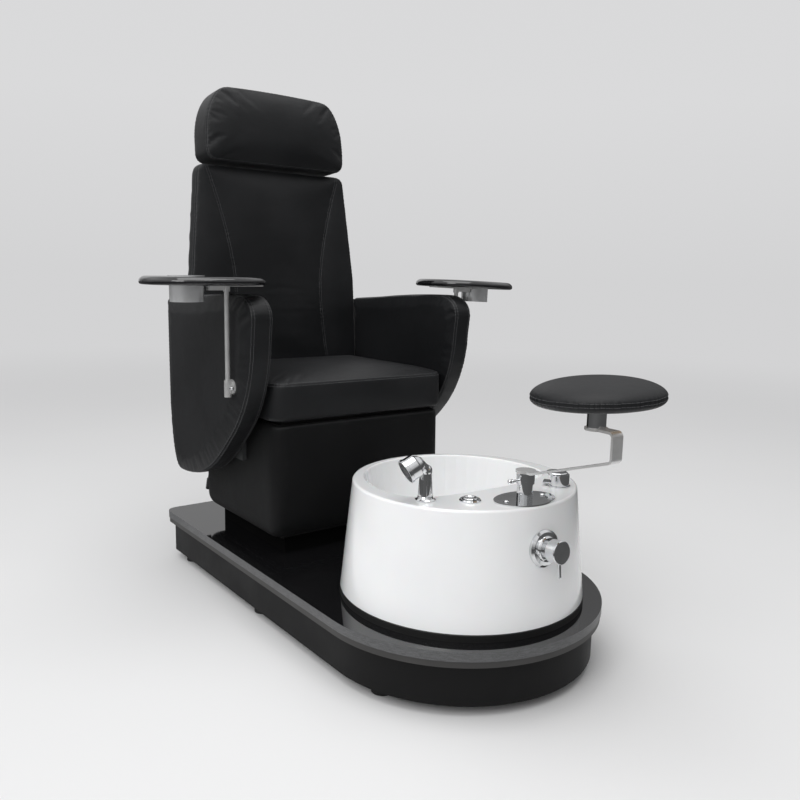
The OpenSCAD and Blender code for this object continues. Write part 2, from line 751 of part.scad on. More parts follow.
module shower_handle() color("#dfe1e4") on_shower() difference() {
    union() {
        translate([0, 0, -deck_lip - 15]) cylinder(r = 12, h = deck_lip + 26);
        translate([0, 0, -deck_lip - hose_tail]) cylinder(r = 4.5, h = hose_tail);
        rotate_extrude() polygon([[0, 10 + slip_gap], [15.5, 10 + slip_gap], [15.5, 14],
            [12.5, shower_grip_h], [0, shower_grip_h]]);
        translate([0, 0, shower_grip_h]) sphere(r = 13.5);
        rod([0, 0, shower_grip_h], head_at + [-5, 1, -5], 12);
    }
    shower_head_form();
    for (a = [22.5:45:360]) rotate([0, 0, a]) rod([16.9, 0, 12], [13.8, 0, shower_grip_h + 6], 2.4);
}

module shower_head() color("#dfe1e4") on_shower() difference() {
    shower_head_form();
    on_head() translate([0, 0, shower_l - 4]) cylinder(d = shower_d - 6, h = 10);
}

module shower_face() color("#8e9296") on_shower() on_head() difference() {
    translate([0, 0, shower_l - 4]) cylinder(d = shower_d - 6 - 2 * run_gap, h = 3);
    for (a = [0:45:315]) rotate([0, 0, a]) translate([15, 0, shower_l - 2.5]) cylinder(r = 2.4, h = 4);
}

// ---------- Footrest ----------

module on_post() on_tub() translate([0, -post_front, 0]) children();

module at_flange_screws() on_flange() for (s = [-1, 1]) translate([s * (flange_l / 2 - 23), 0, 0])
    children();

module on_flange() translate([0, -post_front, rim_z]) children();

module footrest_post() color("#d9dbde") on_tub() difference() {
    on_flange() {
        linear_extrude(3) polygon([for (a = [0:5:355]) [flange_l / 2 * cos(a), flange_w / 2 * sin(a)]]);
        cylinder(d = post_d, h = post_h - collar_h);
    }
    on_flange() translate([0, 0, 3]) cylinder(d = shaft_d + 2 * run_gap, h = post_h);
    at_flange_screws() translate([0, 0, -1]) cylinder(r = 3 + run_gap, h = 6);
}

module flange_screws() color("#c4c7ca") on_tub() at_flange_screws() {
    translate([0, 0, -deck_lip - 6]) cylinder(r = 3, h = deck_lip + 10);
    translate([0, 0, 3]) intersection() {
        cylinder(r = 5.5, h = 3.4);
        translate([0, 0, -4.5]) sphere(r = 8);
    }
}

module post_collar() color("#e2e4e6") on_post() translate([0, 0, rim_z + post_h - collar_h]) difference() {
    cylinder(d = post_d + 5, h = collar_h);
    translate([0, 0, -1]) cylinder(d = shaft_d + 2 * run_gap, h = collar_h + 2);
    translate([0, 0, 8]) rotate([0, -90, 0]) cylinder(r = 3 + run_gap, h = 40);
}

module collar_screw() color("#e2e4e6") on_post() translate([-shaft_d / 2 - slip_gap, 0,
    rim_z + post_h - collar_h + 8])
    rotate([0, -90, 0]) ball_screw(3, 31, 5);

// Side of the bent bar as points [y, z] along its middle line, heading towards -Y
function bend(c, r, a0, a1, steps) = [for (i = [0:steps]) let (a = a0 + (a1 - a0) * i / steps) c
    + r * [cos(a), sin(a)]];

// One side of the bar's outline, d away from its middle line
function bar_side(d) =
    let (
        s = bar_slope,
        r = bar_bend_r,
        y1 = -bar_reach + bar_t / 2,
        z0 = bar_z + bar_t / 2,
        z1 = z0 + tan(s) * (-flat_l - y1 - r + r * sin(s)) + r * cos(s),
        z2 = bar_top_z + bar_t / 2 - r)
    concat(
        [[0, z0 + d], [-flat_l, z0 + d]],
        bend([y1 + r, z1], r - d, 270 - s, 180, 6),
        bend([y1 + r, z2], r - d, 180, 90, 6),
        [[-bar_reach + pad_back, z2 + r - d]]);

module footrest_arm() color("#b9bbbe") on_post() {
    rotate([90, 0, 90]) translate([0, 0, -bar_w / 2]) linear_extrude(bar_w)
        polygon(concat(bar_side(bar_t / 2), [for (i = [len(bar_side(0)) - 1:-1:0])
            bar_side(-bar_t / 2)[i]]));
    translate([0, 0, bar_z]) cylinder(r = paddle_r, h = bar_t);
    translate([0, -bar_reach + pad_back, bar_top_z]) cylinder(r = hub_d / 2 + 4, h = bar_t);
    translate([0, 0, rim_z + 3 + slip_gap]) cylinder(d = shaft_d, h = bar_z - rim_z - 3);
}

module on_hub() on_tub() translate([0, pad_y, bar_top_z + bar_t]) children();

module pad_hub() color("#dfe1e4") on_hub() difference() {
    cylinder(d = hub_d, h = hub_h);
    translate([0, 0, 2]) cylinder(d = stem_d + 2 * run_gap, h = hub_h);
    translate([0, 0, hub_h - 9]) rotate([0, 90, 0]) cylinder(r = 3 + run_gap, h = 40);
}

module hub_screw() color("#e2e4e6") on_hub() translate([stem_d / 2 + slip_gap, 0, hub_h - 9])
    rotate([0, 90, 0]) ball_screw(3, 22, 5);

module pad_stem() color("#d9dbde") on_hub() {
    translate([0, 0, 2 + slip_gap]) cylinder(d = stem_d, h = hub_h);
    on_plate() cylinder(d = 96, h = plate_t);
}

// Frame of the stem's tipped plate
module on_plate() translate([0, 0, hub_h + plate_lift]) rotate([0, 0, tip_along]) rotate([-pad_tip, 0, 0])
    rotate([0, 0, -tip_along]) children();

module pad_board() color("#8a6b47") on_hub() on_plate() translate([0, 0, plate_t])
    cylinder(d = pad_board_d, h = pad_board_t);

module pad_cushion() color("#26282a") on_hub() on_plate() translate([0, 0, plate_t + pad_under])
    difference() {
    rotate_extrude() polygon(concat(
        [[0, -pad_under]],
        [for (a = [0:10:80]) [(pad_d / 2 - 22) + 22 * sin(a), -pad_under * pow(cos(a), 0.9)]],
        [for (a = [0:7.5:90]) [pad_d / 2 * pow(cos(a), 0.85), pad_crown * pow(sin(a), 0.95)]]));
    translate([0, 0, -pad_under - 1]) cylinder(d = pad_board_d + 2 * slip_gap,
        h = pad_board_t + 1 + slip_gap);
}

// ---------- Base and seat ----------

module chair_plinth() color("#17181a") translate([-base_half_w + 47, base_front + 40, floor_z])
    cube([2 * (base_half_w - 47), base_back - base_front - 75, plinth_h]);

// Pocket in the padded base for the plywood box
pocket_hw = base_half_w - base_pad - 2;
pocket_y = [base_front + base_pad, base_back - base_pad];

module base_carcass() color("#9c7b52") {
    difference() {
        translate([-pocket_hw + slip_gap, pocket_y[0] + slip_gap, base_z])
            cube([2 * (pocket_hw - slip_gap), pocket_y[1] - pocket_y[0] - 2 * slip_gap,
                base_top - ply_t - base_z]);
        translate([-pocket_hw + ply_t, pocket_y[0] + ply_t, base_z + ply_t])
            cube([2 * (pocket_hw - ply_t), pocket_y[1] - pocket_y[0] - 2 * ply_t, base_top]);
        lock_hole(lock_rod_d / 2 + 2);
    }
    lid_y = pocket_y[0] + slip_gap;
    lid_l = pocket_y[1] - slip_gap - lid_y;
    translate([-pocket_hw + slip_gap, lid_y, base_top - ply_t])
        cube([2 * (pocket_hw - slip_gap), lid_l - bracket_foot, seat_z - base_top + ply_t]);
    translate([-bracket_x + 10, lid_y, base_top - ply_t])
        cube([2 * (bracket_x - 10), lid_l, seat_z - base_top + ply_t]);
}

module lock_hole(r) translate([0, base_back + 1, lock_z]) rotate([90, 0, 0]) cylinder(r = r,
    h = base_pad + ply_t + 4);

// Padded cover of the base: upright sides with soft corners, drawn in at the bottom and rounder in front
// towards the top
base_h = base_top - base_z;
base_rows = [[22, 0], [13, 4], [6, 12], [1.5, 24], [0, 40], [0, base_h - 12], [1.5, base_h - 3], [6,
    base_h]];

module base_cover() color("#1f2022") difference() {
    skin([for (q = base_rows) at_z(round_rect(base_half_w - q[0], base_front + q[0] + (q[1] < 50 ? 6 : 0),
        base_back - q[0], 28 - q[0] / 3 + 22 * q[1] / base_h, 28 - q[0] / 3, 5, 3), base_z + q[1])]);
    translate([-pocket_hw, pocket_y[0], base_z - 1])
        cube([2 * pocket_hw, pocket_y[1] - pocket_y[0], base_top]);
    lock_hole(lock_rod_d / 2 + 4);
    both_sides() translate([bracket_x - slip_gap, pocket_y[1] - 1, base_top - ply_t - slip_gap])
        cube([6 + 2 * slip_gap, base_pad + 2, 60]);
}

// Draws the long sides of an outline in between its corners by up to d
function drawn_in(line, hw, y0, y1, d) = [for (p = line)
    let (y = (p[1] - (y0 + y1) / 2) / ((y1 - y0) / 2), x = p[0] / hw)
    [p[0] - sign(p[0]) * d * (1 - y * y) * abs(x), p[1] - sign(y) * d * (1 - x * x) * abs(y)]];

function seat_line(in) = inset(drawn_in(round_rect(seat_half_w, seat_front, seat_front + seat_depth,
    50, 14, 5, 5), seat_half_w, seat_front, seat_front + seat_depth, 2.5), in);

// Shrinks an outline towards its middle
function shrunk(line, s) = let (c = middle(at_z(line, 0))) [for (p = line) [c[0] + (p[0] - c[0]) * s,
    c[1] + (p[1] - c[1]) * s]];

seat_rows = [[6, 0], [1.5, 3], [0, 10], [-1, seat_h / 2], [0, seat_h - 8], [1.5, seat_h - 2], [3.5,
    seat_h]];
crown_steps = [[0.975, 0.3], [0.9, 0.56], [0.72, 0.82], [0.45, 0.95], [0.2, 1]];

module seat_cushion() color("#232527") translate([0, 0, seat_z]) skin(concat(
    [for (q = seat_rows) at_z(seat_line(q[0]), q[1])],
    [for (q = crown_steps) at_z(shrunk(seat_line(3.5), q[0]), seat_h + seat_crown * q[1])]));

// ---------- Arms ----------

mount_l = 220;
mount_h = 90;

module arm_mounts() color("#3a3c3e") both_sides()
    translate([base_half_w, base_back - 60 - mount_l, base_top - 27 - mount_h])
        cube([arm_inner - base_half_w, mount_l, mount_h]);

// Side outline of an arm as [y, z]: a flat top, a round front, and a long slope below between two bends
nose_l = 72;
nose_h = 59;
nose_over = 6;  // the arm's front leans forward by this much at its top
top_drop = 33;
back_curve = 298;
arm_nose = arm_top - nose_h;
nose_mid = arm_front - nose_over + nose_l;
slope_meet = [arm_front, arm_bottom + (arm_under - arm_front) * tan(arm_slope)];
slope_leg = 0.39 * norm(slope_meet - [arm_under, arm_bottom]);
front_bend_r = slope_leg / tan(45 - arm_slope / 2);
under_bend_r = slope_leg / tan(arm_slope / 2);
arm_heel = arm_under + slope_leg + 8;
arm_line = concat(
    bow([arm_heel, arm_bottom + back_curve], arm_back - arm_heel, back_curve, 2.5, -90, 0, 8),
    [for (i = [0:3]) let (s = 1 - i * 0.05)
        [arm_back - 12 * pow(i / 3, 2), arm_top - top_drop * s * s - 12 * pow(1 - i / 3, 2)]],
    [for (i = [1:5]) let (s = 0.85 - 0.17 * i) [nose_mid + (arm_back - nose_mid) * s,
        arm_top - top_drop * s * s]],
    [for (i = [1:5]) [nose_mid + nose_l * cos(90 + 18 * i), arm_nose + nose_h * sin(90 + 18 * i)]],
    bend([arm_front + front_bend_r, slope_meet[1] + slope_leg], front_bend_r, 180, 270 - arm_slope, 6),
    bend([arm_under + slope_leg, arm_bottom + under_bend_r], under_bend_r, 270 - arm_slope, 270, 6));

// Rows across an arm's thickness: soft edges, with a sewn line inside each
arm_rows = [[7, 0], [3, 1.5], [0.8, 6], [1.6, 9], [0, 12], [-1, arm_t / 2], [0, arm_t - 12], [1.6,
    arm_t - 9],
    [0.8, arm_t - 6], [3, arm_t - 1.5], [7, arm_t]];
arm_crown_steps = [[0.95, 0.5], [0.88, 0.85], [0.75, 1]];

module arm() rotate([90, 0, 90]) skin(concat(
    [for (q = arm_rows) at_z(inset(arm_line, q[0]), arm_inner + q[1])],
    [for (q = arm_crown_steps) at_z(shrunk(inset(arm_line, 7), q[0]), arm_outer + arm_crown * (q[1] - 1))]));

module right_arm() color("#212325") arm();

module left_arm() color("#212325") mirror([1, 0, 0]) arm();

// ---------- Backrest ----------

// Hinge brackets on the plywood box, and the bracket of the recline lever
module rear_brackets() color("#2e3032") {
    both_sides() difference() {
        union() {
            translate([bracket_x - 8, pocket_y[1] - bracket_foot + 1, base_top - ply_t])
                cube([pocket_hw - slip_gap - bracket_x + 8, bracket_foot - 1 - slip_gap, 4]);
            translate([bracket_x, pocket_y[1] - bracket_foot + 1, base_top - ply_t])
                cube([6, pivot_back + 16 - pocket_y[1] + bracket_foot - 1, ply_t + 4]);
            translate([bracket_x, pivot_back - 16, base_top]) cube([6, 32, pivot_z - base_top]);
            translate([bracket_x, pivot_back, pivot_z]) rotate([0, 90, 0]) cylinder(r = 16, h = 6);
        }
        translate([bracket_x - 1, pivot_back, pivot_z]) rotate([0, 90, 0])
            cylinder(d = hinge_pin_d + 2 * run_gap, h = 8);
    }
    translate([lever_x + 4, base_back, lever_z - 10]) cube([8, lever_y - base_back + 8, 20]);
    translate([lever_x - 6 - slip_gap, lever_y, lever_z]) rotate([0, 90, 0]) cylinder(r = 4, h = 12);
    translate([lever_x - 8 - slip_gap, lever_y, lever_z]) rotate([0, 90, 0]) cylinder(r = 6.5, h = 2);
}

module hinge_pins() color("#c9ccce") both_sides() translate([bracket_x - 11, pivot_back, pivot_z])
    rotate([0, 90, 0]) {
        cylinder(d = hinge_pin_d, h = 20);
        translate([0, 0, -4]) cylinder(d = hinge_pin_d + 6, h = 4);
        translate([0, 0, 17 + slip_gap]) cylinder(d = hinge_pin_d + 6, h = 3);
    }

// Half width of the backrest at height v above the pivot
function back_hw(v) = v < wide_l ? back_low_hw : back_low_hw - (back_low_hw - back_top_hw)
    * (v - wide_l) / (back_l - wide_l);

module back_board() color("#a5835a") on_back() rotate([90, 0, 0]) translate([0, 0, -back_board_t / 2])
    linear_extrude(back_board_t) polygon([[-back_low_hw + 14, board_foot], [back_low_hw - 14, board_foot],
        [back_low_hw - 14, wide_l], [back_top_hw - 14, back_l - 14], [-back_top_hw + 14, back_l - 14],
        [-back_low_hw + 14, wide_l]]);

// Steel frame on the back board: ears on the hinge pins, crank of the recline lock, sleeves of the headrest
module back_frame() color("#3c3e40") on_back() {
    plate_y = back_board_t / 2;
    both_sides() difference() {
        union() {
            translate([bracket_x - 7, 0, 0]) rotate([0, 90, 0]) cylinder(r = 14, h = 6);
            translate([bracket_x - 7, -8, 0]) cube([6, plate_y + 12, 20]);
            translate([bracket_x - 7, plate_y, 0]) cube([6, 4, board_foot + 60]);
        }
        translate([bracket_x - 8, 0, 0]) rotate([0, 90, 0]) cylinder(d = hinge_pin_d + 2 * run_gap, h = 8);
    }
    translate([-bracket_x + 1, plate_y, board_foot]) cube([2 * (bracket_x - 1), 4, 60]);
    both_sides() difference() {
        union() {
            translate([head_post_pitch / 2 - 15, plate_y, board_foot]) cube([30, 4,
                back_l - board_foot - 20]);
            translate([head_post_pitch / 2, post_y, back_l - sleeve_l - 20]) cylinder(r = 10, h = sleeve_l);
        }
        translate([head_post_pitch / 2, post_y, back_l - sleeve_l - 21])
            cylinder(d = head_post_d + 2 * run_gap, h = sleeve_l + 2);
    }
    translate([-4, -8, -crank_l - 8]) cube([8, 16, crank_l + 26]);
    translate([-4, plate_y, 10]) cube([8, 4, board_foot]);
    translate([-14, 0, -crank_l]) rotate([0, 90, 0]) cylinder(r = 5, h = 28);
}

// Distance of the sewn line from the middle of the backrest at height v
function seam_x(v) = 146 + (back_top_hw - back_top_r - 10 - 146) * pow(max(0,
    (v - 0.45 * back_l) / (0.55 * back_l)), 1.6)
    + 30 * pow(max(0, (0.45 * back_l - v) / (0.45 * back_l)), 2);

// How far the rounded top corners draw the backrest in at height v
function corner_in(v) = let (r = back_top_r, t = max(0, v - back_l + r)) r - sqrt(r * r - t * t);

// Cross section of the backrest cushion at height v, drawn in by d at its ends, e is the crown's share
function back_ring(v, d, e) =
    let (hw = back_hw(v) - max(d, corner_in(v)), s = seam_x(v), f = back_y[0] + d, w = hw - 8 - s,
        half = [[hw, back_y[1] - soft_gap], [hw + 1.5, back_y[0] + back_pad_t / 2], [hw, f + 8],
            [hw - 2.5, f + 2.5], [hw - 8, f - 1 * e], [s + 0.62 * w, f - 7 * e],
            [s + 0.25 * w, f - 6 * e], [s + min(4, w / 6), f - 2 * e],
            [s, f + 1.5], [s - 4, f - 2 * e], [0.8 * s, f - 7 * e], [0.4 * s, f - 11 * e]])
    concat([for (p = half) [-p[0], p[1], v]], [[0, f - 12 * e, v]],
        [for (i = [len(half) - 1:-1:0]) [half[i][0], half[i][1], v]]);

back_levels = [[back_foot, 7, 0], [back_foot + 2.5, 2.5, 0], [back_foot + 8, 0, 0], [90, 0, 0.15],
    [150, 0, 0.6], [230, 0, 1], [320, 0, 1], [410, 0, 1], [500, 0, 0.9], [back_l - 70, 0, 0.6],
    [back_l - back_top_r, 0, 0.3], [back_l - 16, 0, 0.2], [back_l - 8, 0, 0.1], [back_l - 2.5, 2.5, 0],
    [back_l, 7, 0]];

module back_cushion() color("#232527") on_back()
    skin([for (q = back_levels) back_ring(q[0], q[1], q[2])]);

// Rear cover: a padded shell over the back board, open at its foot
cover_in = 12;
cover_rows = [[0, 0], [4, 12], [10, 24], [18, 36], [28, 46], [42, back_cover_t]];
cover_wall = 54;  // from the backrest's side to the hollow of the cover

function cover_line(in) = [for (p = round_rect(back_low_hw - cover_in - in, back_foot + 2 + in / 2,
    back_l - 4 - in,
    14, 20, 4, 5)) [p[0] * back_hw(p[1]) / back_low_hw, p[1]]];

// Hollow of the rear cover, as deep as y and as high as top
module cover_hollow(y, top) rotate([90, 0, 0]) translate([0, 0, -y]) linear_extrude(y + 4)
    polygon([[-back_low_hw + cover_wall, -1], [back_low_hw - cover_wall, -1],
        [back_low_hw - cover_wall, wide_l], [back_top_hw - cover_wall, top],
        [-back_top_hw + cover_wall, top], [-back_low_hw + cover_wall, wide_l]]);

module back_cover() color("#1f2022") on_back() difference() {
    rotate([90, 0, 0]) mirror([0, 0, 1])
        skin([for (q = cover_rows) at_z(cover_line(q[0]), back_y[2] + slip_gap + q[1])]);
    cover_hollow(back_y[3] - 10, back_l - 44);
    cover_hollow(post_y + 14, back_l - 18);
    both_sides() translate([head_post_pitch / 2, post_y, back_l - 60])
        cylinder(d = head_post_d + 1, h = 100);
}

module headrest_posts() color("#cfd2d4") on_back() both_sides()
    translate([head_post_pitch / 2, post_y, back_l - 20 - sleeve_l]) cylinder(d = head_post_d,
        h = 20 + sleeve_l + head_gap + head_grip);

// Outline of the headrest: tall oval upper corners, and a top edge that rises towards its middle
head_crown = 8;
head_outline = [for (p = round_rect(head_half_w, head_v, head_v + head_h, 30, 75, 8, 5, 1.85))
    let (x = p[0] / head_half_w) [p[0], p[1] + head_crown * (p[1] - head_v) / head_h * (1 - x * x)]];

function head_line(in) = inset(head_outline, in);

head_rows = [[24, 0], [12, 2.5], [5, 8], [1, 18], [0, head_t / 2], [0, head_t - 12], [1.8, head_t - 8],
    [0.8, head_t - 5],
    [3.5, head_t - 1.5], [8, head_t]];

module headrest_cushion() color("#232527") on_back() difference() {
    rotate([90, 0, 0]) translate([0, 0, -head_y[1]]) skin(concat(
        [for (q = head_rows) at_z(head_line(q[0]), q[1])],
        [for (q = crown_steps) at_z(shrunk(head_line(8), q[0]), head_t + 12 * q[1])]));
    both_sides() translate([head_post_pitch / 2, post_y, head_v - 1])
        cylinder(d = head_post_d + 2 * slip_gap, h = head_grip + 2);
}

// ---------- Recline lock ----------

lock_y = [300, pocket_y[1] - ply_t - 2];

module lock_cylinder() color("#55585b") difference() {
    union() {
        translate([0, lock_y[0], lock_z]) rotate([-90, 0, 0]) cylinder(d = lock_tube_d,
            h = lock_y[1] - lock_y[0]);
        translate([-12, lock_y[0] + 20, lock_z]) cube([24, 50, base_top - ply_t - lock_z]);
    }
    translate([0, lock_y[0] + 10, lock_z]) rotate([-90, 0, 0]) cylinder(d = lock_rod_d + 2 * run_gap,
        h = 400);
}

module lock_rod() color("#cfd2d4") {
    slot_h = crank_rise + 13;
    translate([0, lock_y[0] + 50, lock_z]) rotate([-90, 0, 0]) cylinder(d = lock_rod_d,
        h = crank_y - 20 - lock_y[0] - 50);
    difference() {
        translate([-12, crank_y - 22, lock_z - slot_h / 2 - 6]) cube([24, 34, slot_h + 12]);
        translate([-4.6, crank_y - 13, lock_z - 40]) cube([9.2, 40, 80]);
        translate([-13, crank_y - 6.4, lock_z - slot_h / 2]) cube([26, 12.8, slot_h]);
    }
}

module recline_lever() color("#1a1b1c") translate([lever_x - 6, lever_y, lever_z]) difference() {
    union() {
        rotate([0, 90, 0]) cylinder(r = 9, h = 6);
        rotate([18, 0, 0]) translate([0.75, -5, -lever_l]) cube([4.5, 10, lever_l - 3]);
        rotate([18, 0, 0]) translate([3, 0, -lever_l]) cylinder(r = 7, h = 34);
    }
    translate([-1, 0, 0]) rotate([0, 90, 0]) cylinder(r = 4 + run_gap, h = 8);
}

// ---------- Trays ----------

module tray_socket() difference() {
    union() {
        translate([arm_outer, rod_y, socket_z + 25]) rotate([0, 90, 0]) cylinder(r = 19, h = 5);
        translate([arm_outer, rod_y - 6, socket_z + 10]) cube([rod_x - arm_outer, 12, 26]);
        translate([rod_x, rod_y, socket_z]) cylinder(d = socket_d, h = socket_h);
    }
    translate([rod_x, rod_y, socket_z + 2]) cylinder(d = rod_d + 2 * run_gap, h = socket_h);
    translate([rod_x, rod_y, socket_z + 24]) rotate([90, 0, 0]) cylinder(r = 2.5 + run_gap, h = 40);
}

module tray_sockets() color("#d0d3d5") both_sides() tray_socket();

module tray_screw() translate([rod_x, rod_y - rod_d / 2 - slip_gap, socket_z + 24]) rotate([90, 0, 0])
    ball_screw(2.5, 17, 4.5);

module right_tray_screw() color("#e2e4e6") tray_screw();

module left_tray_screw() color("#e2e4e6") mirror([1, 0, 0]) tray_screw();

// Frame of the right tray, tipped about the top of its rod
module tipped(droop) translate([rod_x, rod_y, tray_z]) rotate([0, droop, 0]) translate([-rod_x, -rod_y,
    -tray_z]) children();

module tray_post(droop) {
    translate([rod_x, rod_y, socket_z + 2 + slip_gap]) cylinder(d = rod_d, h = tray_z - socket_z - 12);
    tipped(droop) {
        translate([rod_x, rod_y, tray_z - 16]) cylinder(d = rod_d + 5, h = 16);
        translate([rod_x - 90, rod_y - 16, tray_z - 4])
            cube([tray_x + cup_x - cup_d / 2 - 3 - rod_x + 90, 32, 4]);
        translate([rod_x, rod_y - 6, tray_z - 13]) cube([tray_x + cup_x - cup_d / 2 - 3 - rod_x, 12, 13]);
    }
}

module right_tray_post() color("#4a4d50") tray_post(droop_right);

module left_tray_post() color("#4a4d50") mirror([1, 0, 0]) tray_post(droop_left);

function tray_line(in) = bow([tray_x, tray_y], tray_a - in, tray_b - in, 2.3, 0, 354, 59);

tray_rows = [[6, 0], [1.5, 1.5], [0, 6], [0.5, 11], [4, tray_t - 4.5], [9, tray_t - 1], [13, tray_t]];

module tray(droop) tipped(droop) {
    difference() {
        skin([for (q = tray_rows) at_z(tray_line(q[0]), tray_z + q[1])]);
        translate([tray_x + cup_x, tray_y + cup_y, tray_z - 1]) cylinder(d = cup_d - 2, h = tray_t + 2);
    }
}

module tray_cup(droop) tipped(droop) translate([tray_x + cup_x, tray_y + cup_y, tray_z]) difference() {
    union() {
        translate([0, 0, -cup_h]) cylinder(d = cup_d, h = cup_h);
        cylinder(d = cup_d - 2 - 2 * run_gap, h = tray_t + 1);
        translate([0, 0, tray_t]) cylinder(d = cup_d + 6, h = 1.5);
    }
    translate([0, 0, -cup_h + 2]) cylinder(d = cup_d - 6, h = cup_h + tray_t + 4);
}

module right_cup() color("#c9ccd0") tray_cup(droop_right);

module left_cup() color("#c9ccd0") mirror([1, 0, 0]) tray_cup(droop_left);

module right_tray() color("#0b0c0d") tray(droop_right);

module left_tray() color("#0b0c0d") mirror([1, 0, 0]) tray(droop_left);

foot_pads();
foot_studs();
frame_rails();
skirt();
deck_board();
deck_top();
waste_pipe();
water_pipes();
tub_ring();
tub_shell();
waste_fitting();
drain_plug();
drain_bezel();
drain_knob();
drain_cable();
mixer_valve();
mixer_escutcheon();
mixer_handle();
spout();
shower_holder();
shower_handle();
shower_head();
shower_face();
footrest_post();
flange_screws();
post_collar();
collar_screw();
footrest_arm();
pad_hub();
hub_screw();
pad_stem();
pad_board();
pad_cushion();
chair_plinth();
base_carcass();
base_cover();
seat_cushion();
arm_mounts();
left_arm();
right_arm();
rear_brackets();
hinge_pins();
back_board();
back_frame();
back_cushion();
back_cover();
headrest_posts();
headrest_cushion();
lock_cylinder();
lock_rod();
recline_lever();
tray_sockets();
left_tray_screw();
right_tray_screw();
left_tray_post();
right_tray_post();
left_tray();
right_tray();
left_cup();
right_cup();
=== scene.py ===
"""Looks of the foot-care chair: camera, light, materials and upholstery around the CAD frame."""
import json
import math

import bpy
import numpy as np
from mathutils import Matrix, Vector
from mathutils.bvhtree import BVHTree


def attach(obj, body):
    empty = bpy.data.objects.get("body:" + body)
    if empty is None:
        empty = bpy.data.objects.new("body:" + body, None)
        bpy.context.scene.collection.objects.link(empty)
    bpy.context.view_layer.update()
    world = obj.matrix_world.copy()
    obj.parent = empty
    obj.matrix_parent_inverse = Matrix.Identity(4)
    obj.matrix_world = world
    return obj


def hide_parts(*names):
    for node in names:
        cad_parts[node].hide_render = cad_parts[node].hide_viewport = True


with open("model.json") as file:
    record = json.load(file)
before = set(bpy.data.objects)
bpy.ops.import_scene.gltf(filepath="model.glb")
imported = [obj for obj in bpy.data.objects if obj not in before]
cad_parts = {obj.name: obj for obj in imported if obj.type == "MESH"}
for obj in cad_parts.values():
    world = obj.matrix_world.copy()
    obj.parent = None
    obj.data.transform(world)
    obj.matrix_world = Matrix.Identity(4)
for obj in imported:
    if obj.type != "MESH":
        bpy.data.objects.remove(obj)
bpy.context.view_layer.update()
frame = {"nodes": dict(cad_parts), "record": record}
NODES = frame["nodes"]

# ---------- Camera ----------

CAMERA_AT = Vector((-1.18325, -1.56873, 0.87095))
CAMERA_YAW, CAMERA_DOWN, CAMERA_ROLL = (math.radians(a) for a in (-37.23, 9.01, 1.20))
CAMERA_LENS, CAMERA_SENSOR, CAMERA_REACH = 35.35, 36, 60


def add_camera():
    """Camera at the photograph's place, turned by yaw, pitch and roll."""
    yaw, down, roll = CAMERA_YAW, CAMERA_DOWN, CAMERA_ROLL
    back = Vector((math.sin(yaw) * math.cos(down), -math.cos(yaw) * math.cos(down), math.sin(down)))
    right = Vector((math.cos(yaw), math.sin(yaw), 0))
    up = back.cross(right)
    x = right * math.cos(roll) + up * math.sin(roll)
    y = up * math.cos(roll) - right * math.sin(roll)
    turn = Matrix((x, y, back)).transposed().to_4x4()
    data = bpy.data.cameras.new("camera")
    data.lens, data.sensor_width = CAMERA_LENS, CAMERA_SENSOR
    data.clip_end = CAMERA_REACH
    camera = bpy.data.objects.new("camera", data)
    camera.matrix_world = Matrix.Translation(CAMERA_AT) @ turn
    bpy.context.scene.collection.objects.link(camera)
    bpy.context.scene.camera = camera


# ---------- Shader helpers ----------


